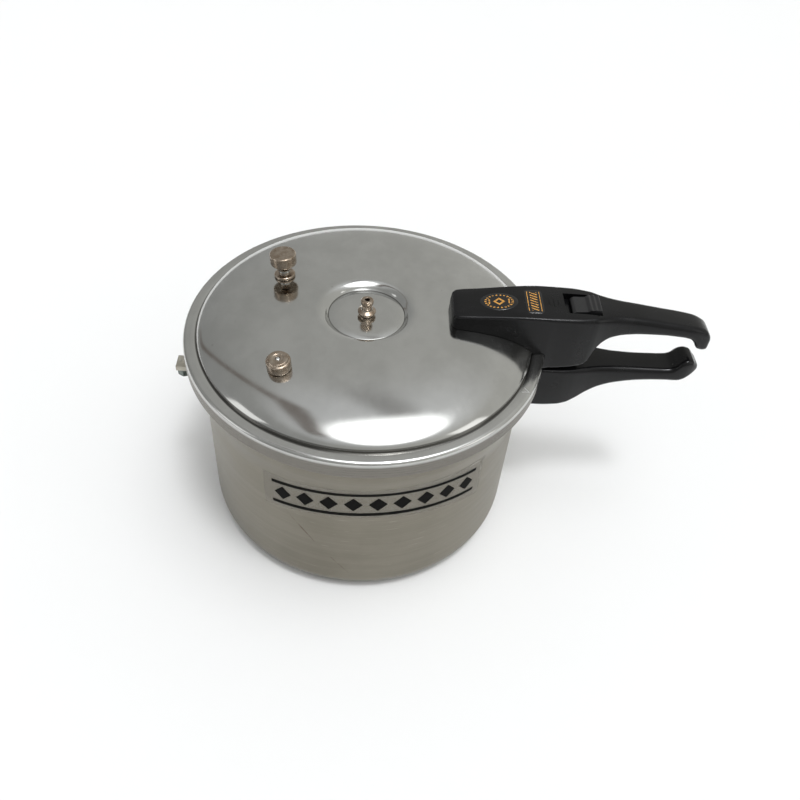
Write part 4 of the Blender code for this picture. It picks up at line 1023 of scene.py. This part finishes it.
# ---------------------------------------------------------------- the lock
# A stepped black slider in the recess drives a plated steel bar through the upper handle, whose
# foot is held in the lower one.  The slider's near edge is cut into teeth for the thumb.

lock_bar = from_solid("lock_bar_plated", "lock_bar", 0.25)
dress(lock_bar, plated_steel, "lock", ["lock_bar"])

button_low, button_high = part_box("lock_button")
low_x, low_z = button_low[0] / MM, button_low[2] / MM
top_z = button_high[2] / MM


def slider(name):
    """A stepped wedge: its side profile is carried across Y, and each section shrinks a little
    towards both ends so that the long edges are eased.  Teeth ripple the two ends' rows."""
    side = [(0.0, low_z - top_z), (21.0, low_z - top_z), (21.0, -0.2), (20.0, 0.0), (18.2, -0.9),
            (16.6, -0.1), (14.8, -1.0), (13.0, -0.2), (11.0, -2.4), (2.0, -2.8), (0.0, -4.2)]
    outline = eased(np.array(side) + [low_x, top_z], 0.5, closed=True, count=4)
    middle = outline.mean(axis=0)
    across = np.array([-9.0, -9.0, -8.85, -8.4, -4.0, 0.0, 4.0, 8.4, 8.85, 9.0, 9.0])
    shrink = np.array([0.0, 0.955, 0.985, 1.0, 1.0, 1.0, 1.0, 1.0, 0.985, 0.955, 0.0])[:, None, None]
    rows = middle + (outline - middle)[None] * shrink
    depth = np.repeat(across[:, None], outline.shape[0], axis=1)
    return surface(name, np.stack([rows[..., 0], depth, rows[..., 1]], axis=-1))


def slider_finish(spot):
    """Moulded black plastic, matt on its grip."""
    grain = noise(spot, 1800.0, 2.0)
    clouds = noise(spot, 200.0, 3.0)
    tone = mixed(clouds, (0.007, 0.007, 0.0075, 1.0), (0.014, 0.014, 0.015, 1.0))
    return {"Base Color": tone, "Roughness": 0.30 + 0.18 * grain, "Normal": relief(grain, 0.00006, 0.4)}


button = slider("lock_slider")
dress(button, finish("slider plastic", {"Specular IOR Level": 0.5}, slider_finish), "lock", ["lock_button"])

# ---------------------------------------------------------------- floor, light and camera
# A wide pale floor, a soft fill light at each side, and a plain room round them whose soft fields
# of light the polished dome mirrors.

FLOOR_HALF = 9.0
CEILING_LIGHT = (3.6, 3.65, 3.7, 1.0)
LAMP_LIGHT = (34.0, 34.5, 35.0, 1.0)
POT_MIDDLE = (0.0, 0.0, 0.1)

floor_corners = [(east * FLOOR_HALF, north * FLOOR_HALF, 0.0)
                 for east, north in ((-1, -1), (1, -1), (1, 1), (-1, 1))]
floor_mesh = bpy.data.meshes.new("floor")
floor_mesh.from_pydata(floor_corners, [], [(0, 1, 2, 3)])
floor = bpy.data.objects.new("floor", floor_mesh)
bpy.context.scene.collection.objects.link(floor)


def floor_finish(spot):
    """A pale matt floor."""
    clouds = noise(spot, 3.0, 2.0)
    return {"Base Color": mixed(clouds, (0.82, 0.82, 0.82, 1.0), (0.84, 0.84, 0.84, 1.0))}


floor_mesh.materials.append(finish("pale floor", {"Roughness": 0.9}, floor_finish))


def soft_light(name, spot, target, size, power):
    """An oblong area light that looks at a target."""
    data = bpy.data.lights.new(name, "AREA")
    data.shape = "RECTANGLE"
    data.size, data.size_y = size
    data.energy = power
    light = bpy.data.objects.new(name, data)
    bpy.context.scene.collection.objects.link(light)
    light.location = spot
    light.rotation_mode = "QUATERNION"
    light.rotation_quaternion = (Vector(target) - Vector(spot)).to_track_quat("-Z", "Y")


soft_light("left fill", (-1.7, -0.5, 0.9), POT_MIDDLE, (0.7, 1.0), 2.0)
soft_light("right fill", (1.7, -0.7, 1.0), POT_MIDDLE, (0.7, 1.0), 2.0)

# The room, by direction: `right` and `back` are degrees away from straight up.  Pale walls, a wide
# haze, one large soft ceiling light with a small brighter lamp in it, and a dark post and a dark
# edge, which the polished dome mirrors as streaks.
world = bpy.data.worlds.new("studio")
bpy.context.scene.world = world
world.use_nodes = True
room = world.node_tree
way = Shade(room, room.nodes.new("ShaderNodeTexCoord").outputs["Generated"])
east, north, up = axes(way)
tilt = up.node("Math", {"operation": "ARCCOSINE"}, {0: up}) * (180 / np.pi)
level = (east * east + north * north + 0.000001) ** 0.5
right = tilt * east / level
back = tilt * north / level
ceiling = fade(((right - 9.0) / 19.0) ** 2.0 + ((back + 9.0) / 23.0) ** 2.0, 1.6, 0.5)
lamp = fade(((right - 9.0) / 6.0) ** 2.0 + ((back + 12.0) / 5.0) ** 2.0, 1.3, 0.7)
haze = fade(((right - 6.0) / 34.0) ** 2.0 + ((back + 4.0) / 40.0) ** 2.0, 1.5, 0.3)
walls = mixed(fade(right, -60.0, 50.0), (0.37, 0.375, 0.37, 1.0), (0.60, 0.60, 0.57, 1.0))
walls = mixed(haze * 0.45, walls, (1.05, 1.08, 1.12, 1.0))
bend = right + 16.5 + fade(back, 16.0, 44.0) * 46.0
post = line(bend, 0.0, 2.6, 3.0) * fade(back, -26.0, -12.0) * fade(back, 62.0, 34.0)
walls = mixed(post * 0.85, walls, (0.16, 0.13, 0.11, 1.0))
edge = line(right - 18.0 + back * 0.52, 0.0, 1.2, 5.0) * fade(back, -22.0, -8.0) * fade(back, 40.0, 30.0)
walls = mixed(edge * 0.6, walls, (0.22, 0.21, 0.20, 1.0))
glow = mixed(lamp, mixed(ceiling, walls, CEILING_LIGHT), LAMP_LIGHT)
room.links.new(glow.socket, room.nodes["Background"].inputs["Color"])
bpy.context.scene.view_settings.view_transform = "Standard"

CAMERA_SPOT = (0.0, -0.46924, 0.57294)
CAMERA_RIGHT = Vector((0.997998573, 0.000184297, 0.063236181))
CAMERA_UP = Vector((-0.04419494, 0.717264808, 0.69539773))
camera_data = bpy.data.cameras.new("camera")
camera_data.lens = 36.8
camera_data.sensor_width = 36.0
camera_data.clip_start = 0.01
camera = bpy.data.objects.new("camera", camera_data)
bpy.context.scene.collection.objects.link(camera)
camera_turn = Matrix((CAMERA_RIGHT, CAMERA_UP, CAMERA_RIGHT.cross(CAMERA_UP))).transposed().to_4x4()
camera.matrix_world = Matrix.Translation(CAMERA_SPOT) @ camera_turn
bpy.context.scene.camera = camera
